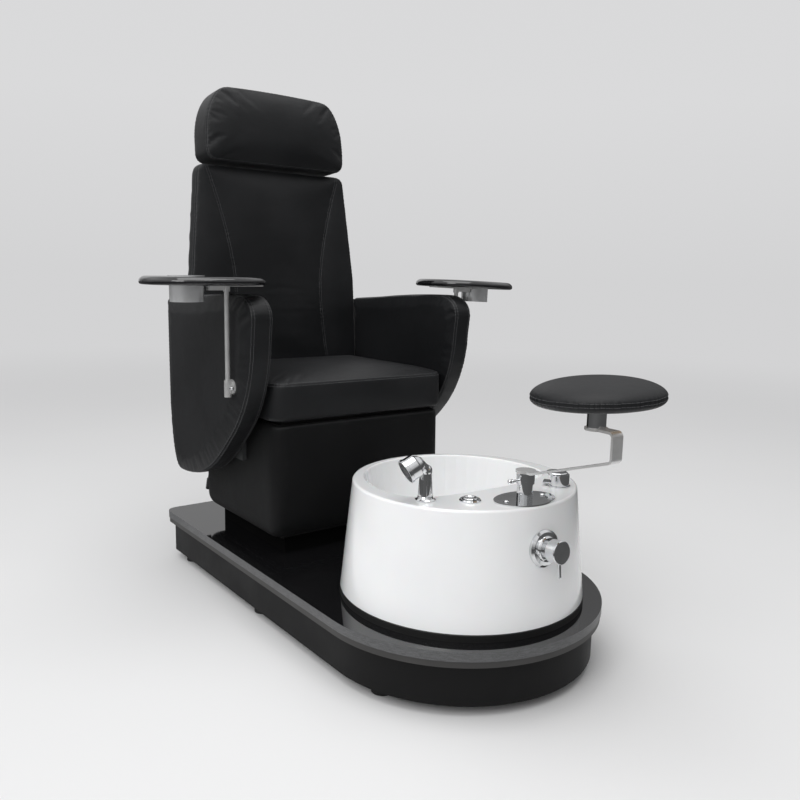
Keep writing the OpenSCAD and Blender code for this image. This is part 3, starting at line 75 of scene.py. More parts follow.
class Paint:
    """One material: its node tree and its Principled shader."""

    def __init__(self, name, color, roughness, metallic=0.0, **sockets):
        self.material = bpy.data.materials.new(name)
        self.material.use_nodes = True
        self.tree = self.material.node_tree
        self.shader = self.tree.nodes["Principled BSDF"]
        self.shader.inputs["Base Color"].default_value = (*color, 1)
        self.shader.inputs["Roughness"].default_value = roughness
        self.shader.inputs["Metallic"].default_value = metallic
        for key, value in sockets.items():
            socket = key.replace("_", " ").title().replace("Ior", "IOR")
            self.shader.inputs[socket].default_value = value
        self.place = self.add("ShaderNodeTexCoord").outputs["Object"]

    def feed(self, socket, value):
        """Joins a socket to another node's output, or sets its value."""
        if isinstance(value, bpy.types.NodeSocket):
            self.tree.links.new(value, socket)
        else:
            socket.default_value = value

    def add(self, kind, settings=None, **inputs):
        """Adds a node; inputs are values or other nodes' outputs, by the socket's name."""
        node = self.tree.nodes.new(kind)
        for key, value in (settings or {}).items():
            setattr(node, key, value)
        for key, value in inputs.items():
            self.feed(node.inputs[key.replace("_", " ")], value)
        return node

    def link(self, output, name):
        """Joins an output to a socket of the shader."""
        self.tree.links.new(output, self.shader.inputs[name])

    def noise(self, scale, detail=3.0, at=None, rough=0.5):
        return self.add("ShaderNodeTexNoise", Vector=at or self.place, Scale=scale, Detail=detail,
                        Roughness=rough).outputs["Fac"]

    def stretched(self, x, y, z):
        """The object's coordinates, scaled by axis."""
        scaled = self.add("ShaderNodeMapping", Vector=self.place, Scale=(x, y, z))
        return scaled.outputs["Vector"]

    def ramp(self, value, low, high, start=0.3, end=0.7):
        """Maps value from start..end to low..high, smoothly."""
        return self.add("ShaderNodeMapRange", {"interpolation_type": "SMOOTHSTEP"}, Value=value,
                        From_Min=start, From_Max=end, To_Min=low, To_Max=high).outputs["Result"]

    def blend(self, fac, a, b):
        """Colour between a and b."""
        node = self.add("ShaderNodeMix", {"data_type": "RGBA"})
        self.tree.links.new(fac, node.inputs["Factor"])
        for socket, value in ((node.inputs[6], a), (node.inputs[7], b)):
            self.feed(socket, (*value, 1) if isinstance(value, tuple) else value)
        return node.outputs[2]

    def math(self, operation, a, b):
        node = self.add("ShaderNodeMath", {"operation": operation})
        for socket, value in zip(node.inputs, (a, b)):
            self.feed(socket, value)
        return node.outputs[0]

    def bump(self, height, strength, distance):
        """Adds a bump on top of those already there."""
        node = self.add("ShaderNodeBump", Height=height, Strength=strength, Distance=distance)
        previous = self.shader.inputs["Normal"].links
        if previous:
            self.tree.links.new(previous[0].from_socket, node.inputs["Normal"])
        self.link(node.outputs["Normal"], "Normal")


# ---------- Materials ----------


def leather(name, color, lift, roughness, specular):
    """Soft synthetic leather: pebbled grain, faint creases, and a sheen that varies."""
    grain, wander_by = 520, 0.0022
    p = Paint(name, color, roughness, specular_ior_level=specular, sheen_weight=0.02,
              sheen_roughness=0.5)
    wander = p.add("ShaderNodeTexNoise", Vector=p.place, Scale=grain / 3, Detail=1.0)
    mixed = p.add("ShaderNodeVectorMath", {"operation": "MULTIPLY_ADD"})
    for socket, value in zip(mixed.inputs, (wander.outputs["Color"], (wander_by,) * 3, p.place)):
        p.feed(socket, value)
    cells = p.add("ShaderNodeTexVoronoi", {"feature": "DISTANCE_TO_EDGE"},
                  Vector=mixed.outputs[0], Scale=grain)
    pebble = p.ramp(cells.outputs["Distance"], 0.0, 1.0, 0.0, 0.28)
    crease = p.noise(34, 5, rough=0.55)
    cloud = p.noise(5, 3)
    p.bump(crease, strength=0.16, distance=0.004)
    p.bump(pebble, strength=0.32, distance=0.0004)
    worn = p.math("MULTIPLY", p.ramp(cloud, 0.25, 1.0, 0.35, 0.65),
                  p.ramp(pebble, 0.55, 1.0, 0.0, 1.0))
    p.link(p.blend(worn, color, lift), "Base Color")
    p.link(p.math("ADD", p.ramp(cloud, roughness - 0.05, roughness + 0.05),
                  p.ramp(pebble, 0.06, 0.0, 0.0, 1.0)), "Roughness")
    return p.material


def lacquer(name, color, lift, roughness):
    """Glossy moulding with faint smears."""
    p = Paint(name, color, roughness, specular_ior_level=0.5, coat_weight=0.6, coat_roughness=0.03)
    smear = p.noise(9, 6, at=p.stretched(1, 2.2, 1))
    fine = p.noise(140, 2)
    p.link(p.ramp(smear, roughness, roughness + 0.07, 0.35, 0.7), "Roughness")
    p.link(p.blend(p.ramp(fine, 0.0, 1.0, 0.6, 0.85), color, lift), "Base Color")
    return p.material


def metal(name, color, roughness, brush=None, scratch=0.05, metallic=1.0):
    """Polished or brushed metal; brush stretches its fine lines along an axis."""
    p = Paint(name, color, roughness, metallic)
    lines = p.noise(900 if brush else 260, 2, at=p.stretched(*(brush or (1, 1, 1))))
    cloud = p.noise(22, 4)
    spread = 0.09 if brush else 0.035
    p.link(p.math("ADD", p.ramp(cloud, roughness, roughness + spread),
                  p.ramp(lines, 0.0, spread, 0.45, 0.75)), "Roughness")
    dull = tuple(0.86 * c for c in color)
    p.link(p.blend(p.ramp(cloud, 0.0, 1.0, 0.4, 0.75), color, dull), "Base Color")
    p.bump(lines, scratch, distance=0.0002 if brush else 0.0001)
    return p.material


def plain(name, color, lift, roughness, grain=260, strength=0.25, distance=0.0003, specular=0.4):
    """Matt plastic, rubber or paint: moulded texture with dusty patches."""
    p = Paint(name, color, roughness, specular_ior_level=specular)
    fine = p.noise(grain, 3)
    dust = p.noise(7, 5)
    p.bump(fine, strength, distance)
    p.link(p.blend(p.ramp(dust, 0.0, 1.0, 0.45, 0.8), color, lift), "Base Color")
    p.link(p.ramp(dust, roughness - 0.04, roughness + 0.08), "Roughness")
    return p.material


def plywood(name):
    """Birch plywood with long grain."""
    p = Paint(name, (0.48, 0.34, 0.2), 0.6)
    grain = p.noise(60, 6, at=p.stretched(1, 1, 9), rough=0.6)
    p.link(p.blend(p.ramp(grain, 0.0, 1.0), (0.5, 0.36, 0.21), (0.3, 0.19, 0.1)), "Base Color")
    p.link(p.ramp(grain, 0.5, 0.7), "Roughness")
    p.bump(grain, strength=0.15, distance=0.0004)
    return p.material


def deck_sheet(name):
    """Glossy black sheet with faint smears; its sawn edge is grey, with long fine streaks."""
    black, smeared = (0.006, 0.006, 0.0065), (0.014, 0.014, 0.015)
    dark_edge, light_edge = (0.022, 0.0225, 0.024), (0.085, 0.087, 0.09)
    p = Paint(name, black, 0.04, ior=1.75)
    facing = p.add("ShaderNodeNewGeometry").outputs["Normal"]
    upright = p.add("ShaderNodeSeparateXYZ", Vector=facing).outputs["Z"]
    edge = p.ramp(upright, 1.0, 0.0, 0.55, 0.75)
    smear = p.noise(9, 6, at=p.stretched(1, 2.2, 1))
    streak = p.noise(70, 5, at=p.stretched(1, 1, 7), rough=0.6)
    speck = p.noise(900, 2)
    mottle = p.math("ADD", p.math("MULTIPLY", streak, 0.5), p.math("MULTIPLY", speck, 0.5))
    sawn = p.blend(p.ramp(mottle, 0.0, 1.0, 0.35, 0.65), dark_edge, light_edge)
    top = p.blend(p.ramp(p.noise(140, 2), 0.0, 1.0, 0.6, 0.85), black, smeared)
    p.link(p.blend(edge, top, sawn), "Base Color")
    p.link(p.math("ADD", p.ramp(smear, 0.03, 0.09, 0.35, 0.7), p.math("MULTIPLY", edge, 0.35)),
           "Roughness")
    p.bump(p.math("MULTIPLY", speck, edge), strength=0.25, distance=0.0003)
    return p.material


def acrylic(name):
    """White glossy basin with a soft sheen and faint mottling."""
    p = Paint(name, (0.86, 0.865, 0.87), 0.16, specular_ior_level=0.5, coat_weight=0.5,
              coat_roughness=0.05, subsurface_weight=0.05, subsurface_scale=0.01)
    cloud = p.noise(4, 4)
    p.link(p.blend(p.ramp(cloud, 0.0, 1.0), (0.87, 0.873, 0.875), (0.83, 0.836, 0.842)),
           "Base Color")
    p.link(p.ramp(cloud, 0.12, 0.2), "Roughness")
    p.bump(p.noise(5, 1), strength=0.05, distance=0.004)
    return p.material


LEATHER = leather("leather_black", (0.0052, 0.0056, 0.0064), (0.0105, 0.011, 0.0122), 0.40, 0.3)
# Darker, less glossy copy of the black leather for the base and rear covers: painted shade, as the
# base stands in shade under the seat.
SHADED_LEATHER = leather("leather_painted_shade", (0.0026, 0.0027, 0.003), (0.0055, 0.0057, 0.006), 0.46, 0.16)
# Grey thread made light so that the seams show dashed glints: partly the thread's own colour,
# partly painted highlight.
THREAD_PAINTED_GLINT = plain("thread_grey", (0.11, 0.112, 0.116), (0.19, 0.192, 0.196), 0.5, 2600, 0.4, 0.0002)
FINISH = {
    "black_leather": LEATHER,
    "deck_gloss": deck_sheet("deck_gloss"),
    "deck_edge": plain("deck_edge", (0.034, 0.033, 0.032), (0.06, 0.058, 0.056), 0.45,
                       grain=420, strength=0.4, distance=0.0004),
    "skirt_black": plain("skirt_black", (0.004, 0.004, 0.0042), (0.008, 0.008, 0.0084), 0.5,
                         grain=180, specular=0.16),
    # Almost black and unreflecting, for the plinth and the rails: partly a black part, partly
    # painted shade for the dark gap under the base.
    "recess_painted_shade": plain("recess_painted_shade", (0.002, 0.002, 0.002), (0.004, 0.004, 0.004), 0.9,
                          grain=180, specular=0.05),
    "white_acrylic": acrylic("white_acrylic"),
    "chrome": metal("chrome", (0.77, 0.78, 0.79), 0.05),
    # brushed, satin_steel and cup_metal are only 62 to 70 percent metallic: their diffuse grey is
    # painted reflection, standing in for the bright studio that these metals mirror.
    "brushed": metal("brushed_steel", (0.72, 0.725, 0.73), 0.24, brush=(1, 1, 0.06),
                     scratch=0.12, metallic=0.7),
    "satin_steel": metal("satin_steel", (0.76, 0.76, 0.755), 0.2, scratch=0.03, metallic=0.62),
    "cup_metal": metal("cup_metal", (0.8, 0.805, 0.81), 0.2, scratch=0.02, metallic=0.62),
    "tray_gloss": lacquer("tray_gloss", (0.007, 0.007, 0.008), (0.018, 0.018, 0.019), 0.05),
    "dark_steel": plain("dark_steel", (0.03, 0.031, 0.032), (0.06, 0.061, 0.062), 0.45,
                        grain=420, strength=0.2),
    "plywood": plywood("plywood"),
    "stained_ply": plain("stained_ply", (0.006, 0.006, 0.006), (0.012, 0.011, 0.01), 0.7, grain=90),
    "pipe_plastic": plain("pipe_plastic", (0.7, 0.7, 0.67), (0.6, 0.6, 0.58), 0.4),
    "pipe_metal": metal("pipe_metal", (0.7, 0.43, 0.28), 0.25),
    "black_rubber": plain("black_rubber", (0.006, 0.006, 0.006), (0.016, 0.016, 0.016), 0.55,
                          grain=420, strength=0.7, distance=0.0008),
    "black_plastic": plain("black_plastic", (0.014, 0.014, 0.015), (0.03, 0.03, 0.031), 0.42,
                           grain=300),
}

# Nodes whose finish isn't that of their slot in the record
FINISH_OF = {
    # The tray posts, sockets and footrest arm take satin_steel, whose partly diffuse grey is
    # painted reflection.
    "left_tray_post": "satin_steel",
    "right_tray_post": "satin_steel",
    "tray_sockets": "satin_steel",
    "footrest_arm": "satin_steel",
    "mixer_valve": "chrome",
    "base_carcass": "stained_ply",
    # The plinth and rails take the recess finish, which is partly painted shade.
    "chair_plinth": "recess_painted_shade",
    "frame_rails": "recess_painted_shade",
    "back_board": "stained_ply",
}


def finish_nodes():
    """Gives every CAD node its finish."""
    slot_of = {part["name"]: part.get("material") for part in frame["record"].get("nodes", [])}
    for name, node in NODES.items():
        own = node.data.materials[0].name.split(".")[0] if node.data.materials else ""
        key = FINISH_OF.get(name) or slot_of.get(name) or own
        material = FINISH.get(key, FINISH["black_plastic"])
        if not node.data.materials:
            node.data.materials.append(material)
        for slot in node.material_slots:
            slot.material = material


# ---------- Mesh helpers ----------


def new_object(name, verts, faces, material, smooth=True):
    mesh = bpy.data.meshes.new(name)
    mesh.from_pydata([tuple(v) for v in verts], [], [tuple(f) for f in faces])
    mesh.update()
    mesh.polygons.foreach_set("use_smooth", [smooth] * len(mesh.polygons))
    mesh.materials.append(material)
    obj = bpy.data.objects.new(name, mesh)
    bpy.context.scene.collection.objects.link(obj)
    return obj


def points(mesh):
    co = np.empty(len(mesh.vertices) * 3)
    mesh.vertices.foreach_get("co", co)
    return co.reshape(-1, 3)


def normals(mesh):
    n = np.empty(len(mesh.vertices) * 3)
    mesh.vertex_normals.foreach_get("vector", n)
    return n.reshape(-1, 3)


def set_points(mesh, co):
    mesh.vertices.foreach_set("co", np.asarray(co, float).ravel())
    mesh.update()


def apply_modifiers(obj):
    """Puts the evaluated mesh in place of the object's own."""
    graph = bpy.context.evaluated_depsgraph_get()
    mesh = bpy.data.meshes.new_from_object(obj.evaluated_get(graph))
    obj.modifiers.clear()
    old, obj.data = obj.data, mesh
    bpy.data.meshes.remove(old)


def ring_at(co, axis, value, tolerance=0.0004):
    """Closed line through those of the points whose coordinate on the axis has this value."""
    found = np.unique(np.round(co[np.abs(co[:, axis] - value) < tolerance], 5), axis=0)
    others = [k for k in range(3) if k != axis]
    flat = found[:, others] - (found[:, others].max(0) + found[:, others].min(0)) / 2
    line = found[np.argsort(np.arctan2(flat[:, 1], flat[:, 0]))]
    return np.vstack([line, line[:1]])


def resample(line, step):
    """Points at equal steps along a line."""
    along = np.concatenate([[0], np.cumsum(np.linalg.norm(np.diff(line, axis=0), axis=1))])
    at = np.linspace(0, along[-1], max(2, int(along[-1] / step)) + 1)
    return np.stack([np.interp(at, along, line[:, k]) for k in range(3)], axis=1)


def rounded(line, passes=2):
    """Cuts the corners of a closed line a little."""
    for _ in range(passes):
        a, b = line[:-1], line[1:]
        cut = np.stack([0.75 * a + 0.25 * b, 0.25 * a + 0.75 * b], axis=1).reshape(-1, 3)
        line = np.vstack([cut, cut[:1]])
    return line


def distance_to(co, line, reach):
    """Distance of each point from a line, and how far along it the nearest place is."""
    best = np.full(len(co), reach)
    along = np.zeros(len(co))
    low, high = line.min(0) - reach, line.max(0) + reach
    near = np.where(((co > low) & (co < high)).all(1))[0]
    done = 0.0
    for a, b in zip(line[:-1], line[1:]):
        d = b - a
        length = np.linalg.norm(d)
        if length > 1e-9:
            mid = np.abs(co[near] - (a + b) / 2).max(1) < reach + length / 2
            pick = near[mid]
            t = np.clip((co[pick] - a) @ d / length**2, 0, 1)
            gap = np.linalg.norm(co[pick] - a - t[:, None] * d, axis=1)
            closer = gap < best[pick]
            best[pick[closer]] = gap[closer]
            along[pick[closer]] = done + t[closer] * length
        done += length
    return best, along


# ---------- Upholstery ----------

SIM_FRAMES = 20
PRESSURE, PAD_PRESSURE = 4.0, 3.0
PIN_STEPS = 10  # weights that the pins are rounded to
SEAM_DEPTH, SEAM_WIDTH, SEAM_REACH = 0.0016, 0.0032, 0.02
PUCKER_DEPTH, PUCKER_ASIDE = 0.0004, 0.006  # how deep, and how far from the seam
PUCKER_RATE, WANDER_RATE, WANDER = 610, 83, 2.1  # radians per metre of seam; uneven by WANDER
STITCH_STEP, STITCH_LENGTH, STITCH_R = 0.0046, 0.0034, 0.00042
STITCH_ASIDE = (0.0035, -0.0035)  # a row of stitches on either side of each seam
STITCH_LIFT, STITCH_REACH = 0.00012, 0.03


class Cushion:
    """A soft piece that grows out of its CAD solid: remeshed, blown up, then sewn."""

    def __init__(self, node, body, voxel, cap=None, soft=8, shrink=0.0015):
        self.node, self.body, self.cap = node, body, cap
        mesh = NODES[node].data.copy()
        mesh.materials.clear()
        self.obj = bpy.data.objects.new(node + "_soft", mesh)
        bpy.context.scene.collection.objects.link(self.obj)
        remesh = self.obj.modifiers.new("remesh", "REMESH")
        remesh.mode, remesh.voxel_size = "VOXEL", voxel
        smooth = self.obj.modifiers.new("smooth", "SMOOTH")
        smooth.factor, smooth.iterations = 0.5, soft
        apply_modifiers(self.obj)
        mesh = self.obj.data
        set_points(mesh, points(mesh) - shrink * normals(mesh))

    def pin(self, seams, reach, hold=None):
        """Holds the cloth along its seams, and where hold(points, normals) says."""
        self.seams = seams
        mesh = self.obj.data
        co, n = points(mesh), normals(mesh)
        weight = np.zeros(len(co))
        for seam in seams:
            gap, _ = distance_to(co, seam, reach)
            weight = np.maximum(weight, 1 - np.clip(gap / reach, 0, 1) ** 2)
        if hold is not None:
            weight = np.maximum(weight, hold(co, n).astype(float))
        group = self.obj.vertex_groups.new(name="pin")
        for step in range(1, PIN_STEPS + 1):
            picked = np.where(np.round(weight * PIN_STEPS).astype(int) == step)[0]
            group.add([int(i) for i in picked], step / PIN_STEPS, "REPLACE")

    def inflate(self, pressure):
        """Adds the cloth; the scene's frames are stepped once for all the cushions."""
        self.before = points(self.obj.data)
        cloth = self.obj.modifiers.new("cloth", "CLOTH")
        s = cloth.settings
        s.quality, s.mass, s.air_damping = 4, 0.3, 2
        s.tension_stiffness = s.compression_stiffness = 18
        s.shear_stiffness, s.bending_stiffness = 8, 1.5
        s.use_pressure, s.uniform_pressure_force = True, pressure
        s.effector_weights.gravity = 0
        s.vertex_group_mass = "pin"
        cloth.point_cache.frame_start, cloth.point_cache.frame_end = 1, SIM_FRAMES

    def settle(self):
        """Takes the cloth's shape, with each point's move capped, and adds one subdivision."""
        if self.obj.modifiers:
            graph = bpy.context.evaluated_depsgraph_get()
            after = points(self.obj.evaluated_get(graph).data)
            self.obj.modifiers.clear()
            move = after - self.before
            far = np.linalg.norm(move, axis=1)
            cap = self.cap(normals(self.obj.data))
            move *= np.minimum(1, cap / np.maximum(far, 1e-9))[:, None]
            set_points(self.obj.data, self.before + move)
        self.obj.vertex_groups.clear()
        finer = self.obj.modifiers.new("finer", "SUBSURF")
        finer.levels = finer.render_levels = 1
        apply_modifiers(self.obj)

    def crease(self, seam):
        """Presses a sewn line into the surface, with small puckers beside it."""
        mesh = self.obj.data
        co, n = points(mesh), normals(mesh)
        gap, along = distance_to(co, seam, SEAM_REACH)
        dip = SEAM_DEPTH * np.exp(-((gap / SEAM_WIDTH) ** 2))
        ripple = np.sin(along * PUCKER_RATE + WANDER * np.sin(along * WANDER_RATE))
        ripple *= np.exp(-((gap - PUCKER_ASIDE) / PUCKER_ASIDE) ** 2)
        fading = PUCKER_DEPTH * ripple * (1 - gap / SEAM_REACH)
        dip += np.where(gap < SEAM_REACH, fading, 0)
        set_points(mesh, co - dip[:, None] * n)

    def finish(self, name, material):
        """Shades the piece, hangs it on its body, and hides the CAD node that it stands in for."""
        mesh = self.obj.data
        mesh.polygons.foreach_set("use_smooth", [True] * len(mesh.polygons))
        mesh.materials.append(material)
        self.obj.name = name
        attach(self.obj, self.body)
        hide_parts(self.node)

    def dress(self, fill, material):
        """Finishes the piece, named after its CAD node."""
        self.finish(self.node + "_soft", material)


def capsule():
    """A short thread: rings of five points, closed at both ends, along X."""
    rings = [(-0.5, 0.35), (-0.36, 0.95), (0.36, 0.95), (0.5, 0.35)]
    verts = [(x, r * math.cos(a), r * math.sin(a)) for x, r in rings
             for a in (2 * math.pi * k / 5 for k in range(5))]
    faces = [(5 * i + k, 5 * i + (k + 1) % 5, 5 * i + 5 + (k + 1) % 5, 5 * i + 5 + k)
             for i in range(3) for k in range(5)]
    return np.array(verts), faces + [(4, 3, 2, 1, 0), (15, 16, 17, 18, 19)]


def sew(cushion):
    """Rows of thread beside each seam, laid on the cushion's surface, as one piece."""
    graph = bpy.context.evaluated_depsgraph_get()
    tree = BVHTree.FromObject(cushion.obj, graph)
    shape, faces = capsule()
    all_verts, all_faces = [], []
    for seam in cushion.seams:
        at = resample(seam, STITCH_STEP)
        mid = (at[:-1] + at[1:]) / 2
        heading = at[1:] - at[:-1]
        for aside in STITCH_ASIDE:
            for p, t in zip(mid, heading):
                hit, n, _, _ = tree.find_nearest(Vector(p), STITCH_REACH)
                if hit is None:
                    continue
                t = Vector(t).normalized()
                across = n.cross(t)
                if across.length < 0.1:
                    continue
                across.normalize()
                hit, n, _, _ = tree.find_nearest(hit + across * aside, STITCH_REACH)
                t = (t - n * t.dot(n)).normalized()
                across = n.cross(t)
                base = len(all_verts) * len(shape)
                basis = np.array([t * STITCH_LENGTH, across * STITCH_R, n * STITCH_R])
                all_verts.append(shape @ basis + np.array(hit + n * STITCH_LIFT))
                all_faces += [tuple(i + base for i in f) for f in faces]
    name = cushion.node + "_thread"
    obj = new_object(name, np.concatenate(all_verts), all_faces, THREAD_PAINTED_GLINT)
    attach(obj, cushion.body)


# Places of the backrest's own frame: x across, y through its thickness, v up along it
PIVOT, LEAN = Vector((0, 0.646, 0.530)), math.radians(4.4)
BACK_L, BACK_LOW, BACK_TOP, BACK_FRONT = 0.650, 0.281, 0.249, -0.052
BACK_CORNER = 0.024
BACK_WAIST, BACK_WAIST_AT = 0.146, 0.45 * BACK_L  # where the two long seams come closest
BACK_SEAM_FROM, BACK_EDGE_IN = 0.03, 0.0015  # where the backrest's seams start; edge seam's inset
HEAD_SEAM_DEPTHS = (-0.078, 0.018)
ARM_SEAMS = (0.293, 0.341)  # near either face of an arm, from the middle of the chair
SEAT_SEAM, SEAT_UNDERSIDE = 0.597, 0.506
PAD_MIDDLE, PAD_SEAM_R = Vector((-0.0176, -0.6409, 0.6584)), 0.1275
PAD_AXIS = Vector((-0.0429, 0.0357, 0.9984)).normalized()


def on_back(x, y, v):
    """Place in the chair of a point of the backrest's own frame."""
    c, s = math.cos(LEAN), math.sin(LEAN)
    return np.array([x, PIVOT.y + y * c + v * s, PIVOT.z - y * s + v * c])


def back_half_width(v):
    """Half width at height v: even up to the middle, then narrower, with rounded top corners."""
    even = BACK_L / 2
    over = max(0.0, v - BACK_L + BACK_CORNER)
    corner = BACK_CORNER - math.sqrt(max(0.0, BACK_CORNER**2 - over**2))
    return BACK_LOW - (BACK_LOW - BACK_TOP) * max(0.0, v - even) / (BACK_L - even) - corner


def back_seam(v):
    """Distance of the sewn line from the backrest's middle, at height v along it."""
    high = max(0.0, (v - BACK_WAIST_AT) / (0.53 * BACK_L)) ** 1.6
    low = max(0.0, (BACK_WAIST_AT - v) / BACK_WAIST_AT) ** 2
    spread = BACK_TOP - BACK_CORNER - 0.004 - BACK_WAIST
    return BACK_WAIST + spread * min(1.0, high) + 0.030 * low


def back_seams():
    """The two long seams down the backrest's face, and the one round its edge."""
    levels = np.linspace(BACK_SEAM_FROM, BACK_L - 0.004, 40)
    curves = [np.array([on_back(side * back_seam(v), BACK_FRONT - 0.004, v) for v in levels])
              for side in (-1, 1)]
    turn = (BACK_CORNER - BACK_EDGE_IN) * (1 - np.sin(np.linspace(0.1, 1.5, 8)))
    rise = np.concatenate([np.linspace(BACK_SEAM_FROM, BACK_L - BACK_CORNER - 0.002, 36),
                           BACK_L - BACK_EDGE_IN - turn])
    edge = np.array([on_back(back_half_width(v) - BACK_EDGE_IN, BACK_FRONT + 0.006, v)
                     for v in rise])
    return curves + [np.vstack([edge * (-1, 1, 1), edge[::-1]])]


def head_seams():
    """Sewn lines round both faces of the headrest."""
    co = points(NODES["headrest_cushion"].data)
    c, s = math.cos(LEAN), math.sin(LEAN)
    y = (co[:, 1] - PIVOT.y) * c - (co[:, 2] - PIVOT.z) * s
    v = (co[:, 1] - PIVOT.y) * s + (co[:, 2] - PIVOT.z) * c
    own = np.stack([co[:, 0], v, y], axis=1)
    return [rounded(np.array([on_back(x, y, v) for x, v, y in ring_at(own, 2, depth)]))
            for depth in HEAD_SEAM_DEPTHS]


def pad_seam():
    """Sewn line round the widest part of the tipped round pad."""
    u = PAD_AXIS.orthogonal().normalized()
    v = PAD_AXIS.cross(u)
    return np.array([PAD_MIDDLE + PAD_SEAM_R * (math.cos(a) * u + math.sin(a) * v)
                     for a in np.linspace(0, 2 * math.pi, 97)])


def node_seam(node, axis, value):
    """Sewn line round a CAD node where the coordinate axis has this value."""
    return rounded(ring_at(points(NODES[node].data), axis, value))


def ahead(n):
    """How far each normal faces the front."""
    return np.clip(-n[:, 1], 0, 1)


def upward(n):
    """How far each normal faces up."""
    return np.clip(n[:, 2], 0, 1)


def build_upholstery():
    """Makes the cushions: cap is how far each point may swell, hold is where the cloth is kept."""
    arms = []
    for side, node in ((-1, "left_arm"), (1, "right_arm")):
        arm = Cushion(node, "platform", voxel=0.0052,
                      cap=lambda n: 0.0012 + 0.0022 * np.abs(n[:, 0]))
        arm.pin([node_seam(node, 0, side * at) for at in ARM_SEAMS], reach=0.006)
        arms.append(arm)

    seat = Cushion("seat_cushion", "platform", voxel=0.0056,
                   cap=lambda n: 0.0015 + 0.008 * upward(n) + 0.003 * ahead(n))
    seat.pin([node_seam("seat_cushion", 2, SEAT_SEAM)], reach=0.007,
             hold=lambda co, n: co[:, 2] < SEAT_UNDERSIDE)

    back = Cushion("back_cushion", "backrest", voxel=0.0056,
                   cap=lambda n: 0.0008 + 0.006 * ahead(n))
    back.pin(back_seams(), reach=0.007, hold=lambda co, n: n[:, 1] > 0.8)

    head = Cushion("headrest_cushion", "headrest", voxel=0.005,
                   cap=lambda n: 0.002 + 0.007 * ahead(n))
    head.pin(head_seams(), reach=0.006, hold=lambda co, n: n[:, 1] > 0.85)

    pad = Cushion("pad_cushion", "pad", voxel=0.0042, cap=lambda n: 0.002 + 0.004 * upward(n))
    pad.pin([pad_seam()], reach=0.006, hold=lambda co, n: n[:, 2] < -0.9)

    cushions = [*arms, seat, back, head, pad]
    for c in cushions:
        c.inflate(PAD_PRESSURE if c is pad else PRESSURE)
    scene = bpy.context.scene
    scene.frame_start, scene.frame_end = 1, SIM_FRAMES
    for f in range(1, SIM_FRAMES + 1):
        scene.frame_set(f)
    for c in cushions:
        c.settle()
    bpy.context.scene.frame_set(1)
    for c in cushions:
        for seam in c.seams:
            c.crease(seam)
        c.dress(0.8, LEATHER)
        sew(c)

    # The base and rear covers take the darker copy of the leather, which is painted shade.
    for node, body in (("base_cover", "platform"), ("back_cover", "backrest")):
        c = Cushion(node, body, voxel=0.007)
        c.settle()
        c.dress(0.9, SHADED_LEATHER)


def build_trays():
    """Lacquered trays with softly rounded edges."""
    for node in ("left_tray", "right_tray"):
        tray = Cushion(node, node, voxel=0.0024, soft=6, shrink=0.0)
        tray.finish(node + "_lacquer", FINISH["tray_gloss"])


# ---------- Floor and light ----------

HORIZON = 0.65
FLOOR_RADIUS, FLOOR_SIDES = 40.0, 96
FADE_FROM, FADE_TO = 1.2, 8.0  # where the floor turns into the backdrop
DIM_FROM, DIM_TO = 0.9, 1.7  # where the floor's mirror image darkens
UPPER_LEFT, WINDOW, BEHIND = (-0.74, 0.12, 0.66), (-1, 0.1, 0.2), (0.26, 0.96, 0.1)
LAMPS_FACE = (0, 0, 0.3)


def surround():
    """Pale backdrop to the eye, soft light from the upper left, a dim room in what is polished."""
    world = bpy.data.worlds.new("surround")
    bpy.context.scene.world = world
    world.use_nodes = True
    tree = world.node_tree
    tree.nodes.remove(tree.nodes["Background"])

    def node(kind, **settings):
        made = tree.nodes.new(kind)
        for key, value in settings.items():
            setattr(made, key, value)
        return made

    def grey_ramp(value, *stops):
        ramp = node("ShaderNodeValToRGB")
        while len(ramp.color_ramp.elements) < len(stops):
            ramp.color_ramp.elements.new(0.5)
        for stop, (at, grey) in zip(ramp.color_ramp.elements, stops):
            stop.position, stop.color = at, (grey, grey, grey * 1.01, 1)
        tree.links.new(value, ramp.inputs["Fac"])
        return ramp.outputs["Color"]

    def toward(direction):
        """How far the looked-at direction agrees with this one."""
        dot = node("ShaderNodeVectorMath", operation="DOT_PRODUCT")
        tree.links.new(place, dot.inputs[0])
        dot.inputs[1].default_value = Vector(direction).normalized()
        return dot.outputs["Value"]

    def background(*colors):
        """Background whose light is the sum of these colours."""
        total = colors[0]
        for color in colors[1:]:
            both = node("ShaderNodeMix", data_type="RGBA", blend_type="ADD")
            both.inputs[0].default_value = 1.0
            tree.links.new(total, both.inputs[6])
            tree.links.new(color, both.inputs[7])
            total = both.outputs[2]
        made = node("ShaderNodeBackground")
        tree.links.new(total, made.inputs["Color"])
        return made.outputs[0]

    def either(ray, no, yes):
        mix = node("ShaderNodeMixShader")
        for socket, output in zip(mix.inputs, (rays.outputs[ray], no, yes)):
            tree.links.new(output, socket)
        return mix.outputs[0]

    place = node("ShaderNodeTexCoord").outputs["Generated"]
    split = node("ShaderNodeSeparateXYZ")
    tree.links.new(place, split.inputs[0])
    height = split.outputs["Z"]
    rays = node("ShaderNodeLightPath")
    seen = background(grey_ramp(height, (0.0, HORIZON), (0.2, 0.70), (0.5, 0.69)))
    light = background(grey_ramp(toward(UPPER_LEFT), (0.0, 0.25), (0.35, 0.38), (0.85, 1.0)))
    mirrored = background(grey_ramp(height, (0.0, 0.09), (0.25, 0.14), (0.62, 0.8)),
                          grey_ramp(toward(WINDOW), (0.35, 0.0), (0.8, 0.42)),
                          grey_ramp(toward(BEHIND), (0.86, 0.0), (0.95, 0.42)))
    shown = either("Is Camera Ray", either("Is Glossy Ray", light, mirrored), seen)
    tree.links.new(shown, tree.nodes["World Output"].inputs["Surface"])


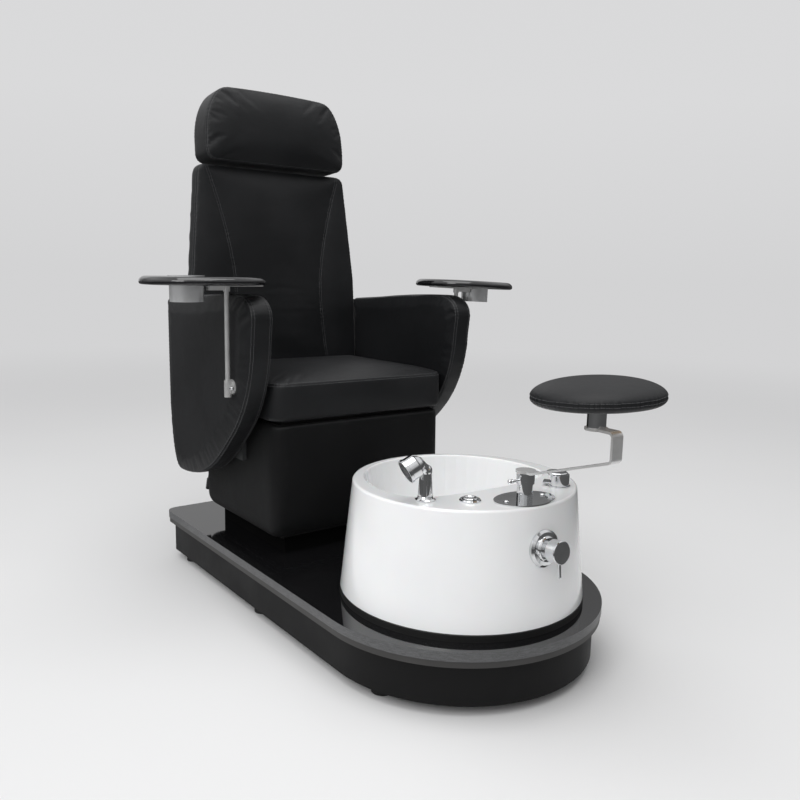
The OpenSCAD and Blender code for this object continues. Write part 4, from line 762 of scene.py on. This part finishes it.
def build_floor():
    """Pale floor that runs into the backdrop without an edge."""
    p = Paint("floor", (0.8, 0.8, 0.8), 0.9, specular_ior_level=0.0)
    away = p.add("ShaderNodeVectorMath", {"operation": "LENGTH"}, Vector=p.place).outputs["Value"]
    fade = p.ramp(away, 0.0, 1.0, FADE_FROM, FADE_TO)
    near = p.blend(p.ramp(p.noise(0.8, 3), 0.0, 1.0), (0.80, 0.80, 0.80), (0.79, 0.79, 0.79))
    p.link(p.blend(fade, near, (0, 0, 0)), "Base Color")
    p.shader.inputs["Emission Color"].default_value = (HORIZON, HORIZON, HORIZON * 1.01, 1)
    p.link(fade, "Emission Strength")
    dim = p.add("ShaderNodeBsdfDiffuse", Color=(0.1, 0.1, 0.1, 1))
    mirrored = p.add("ShaderNodeLightPath").outputs["Is Glossy Ray"]
    dimmed = p.math("MULTIPLY", mirrored, p.ramp(away, 0.0, 1.0, DIM_FROM, DIM_TO))
    mix = p.add("ShaderNodeMixShader")
    for socket, output in zip(mix.inputs, (dimmed, p.shader.outputs[0], dim.outputs[0])):
        p.tree.links.new(output, socket)
    p.tree.links.new(mix.outputs[0], p.tree.nodes["Material Output"].inputs["Surface"])
    turns = [2 * math.pi * k / FLOOR_SIDES for k in range(FLOOR_SIDES)]
    ring = [(FLOOR_RADIUS * math.cos(a), FLOOR_RADIUS * math.sin(a), 0) for a in turns]
    new_object("floor", ring, [range(FLOOR_SIDES)], p.material, smooth=False)


def lamp(name, at, toward, size, power):
    """Oblong area lamp that faces a place."""
    data = bpy.data.lights.new(name, "AREA")
    data.shape, data.size, data.size_y = "RECTANGLE", size[0], size[1]
    data.energy = power
    obj = bpy.data.objects.new(name, data)
    obj.location = at
    obj.rotation_euler = (Vector(toward) - Vector(at)).to_track_quat("-Z", "Y").to_euler()
    bpy.context.scene.collection.objects.link(obj)


def build_stage():
    """Floor, surroundings, and soft lamps from the left and above."""
    build_floor()
    surround()
    lamp("key", (-3.6, -1.9, 3.2), LAMPS_FACE, (2.2, 2.2), 52)
    lamp("top", (-0.4, -0.6, 4.4), LAMPS_FACE, (3.4, 3.4), 80)
    lamp("fill", (-1.6, -4.4, 1.8), (0, 0, 0.4), (2.0, 1.6), 2)
    bpy.context.scene.view_settings.view_transform = "Standard"


add_camera()
finish_nodes()
build_upholstery()
build_trays()
build_stage()
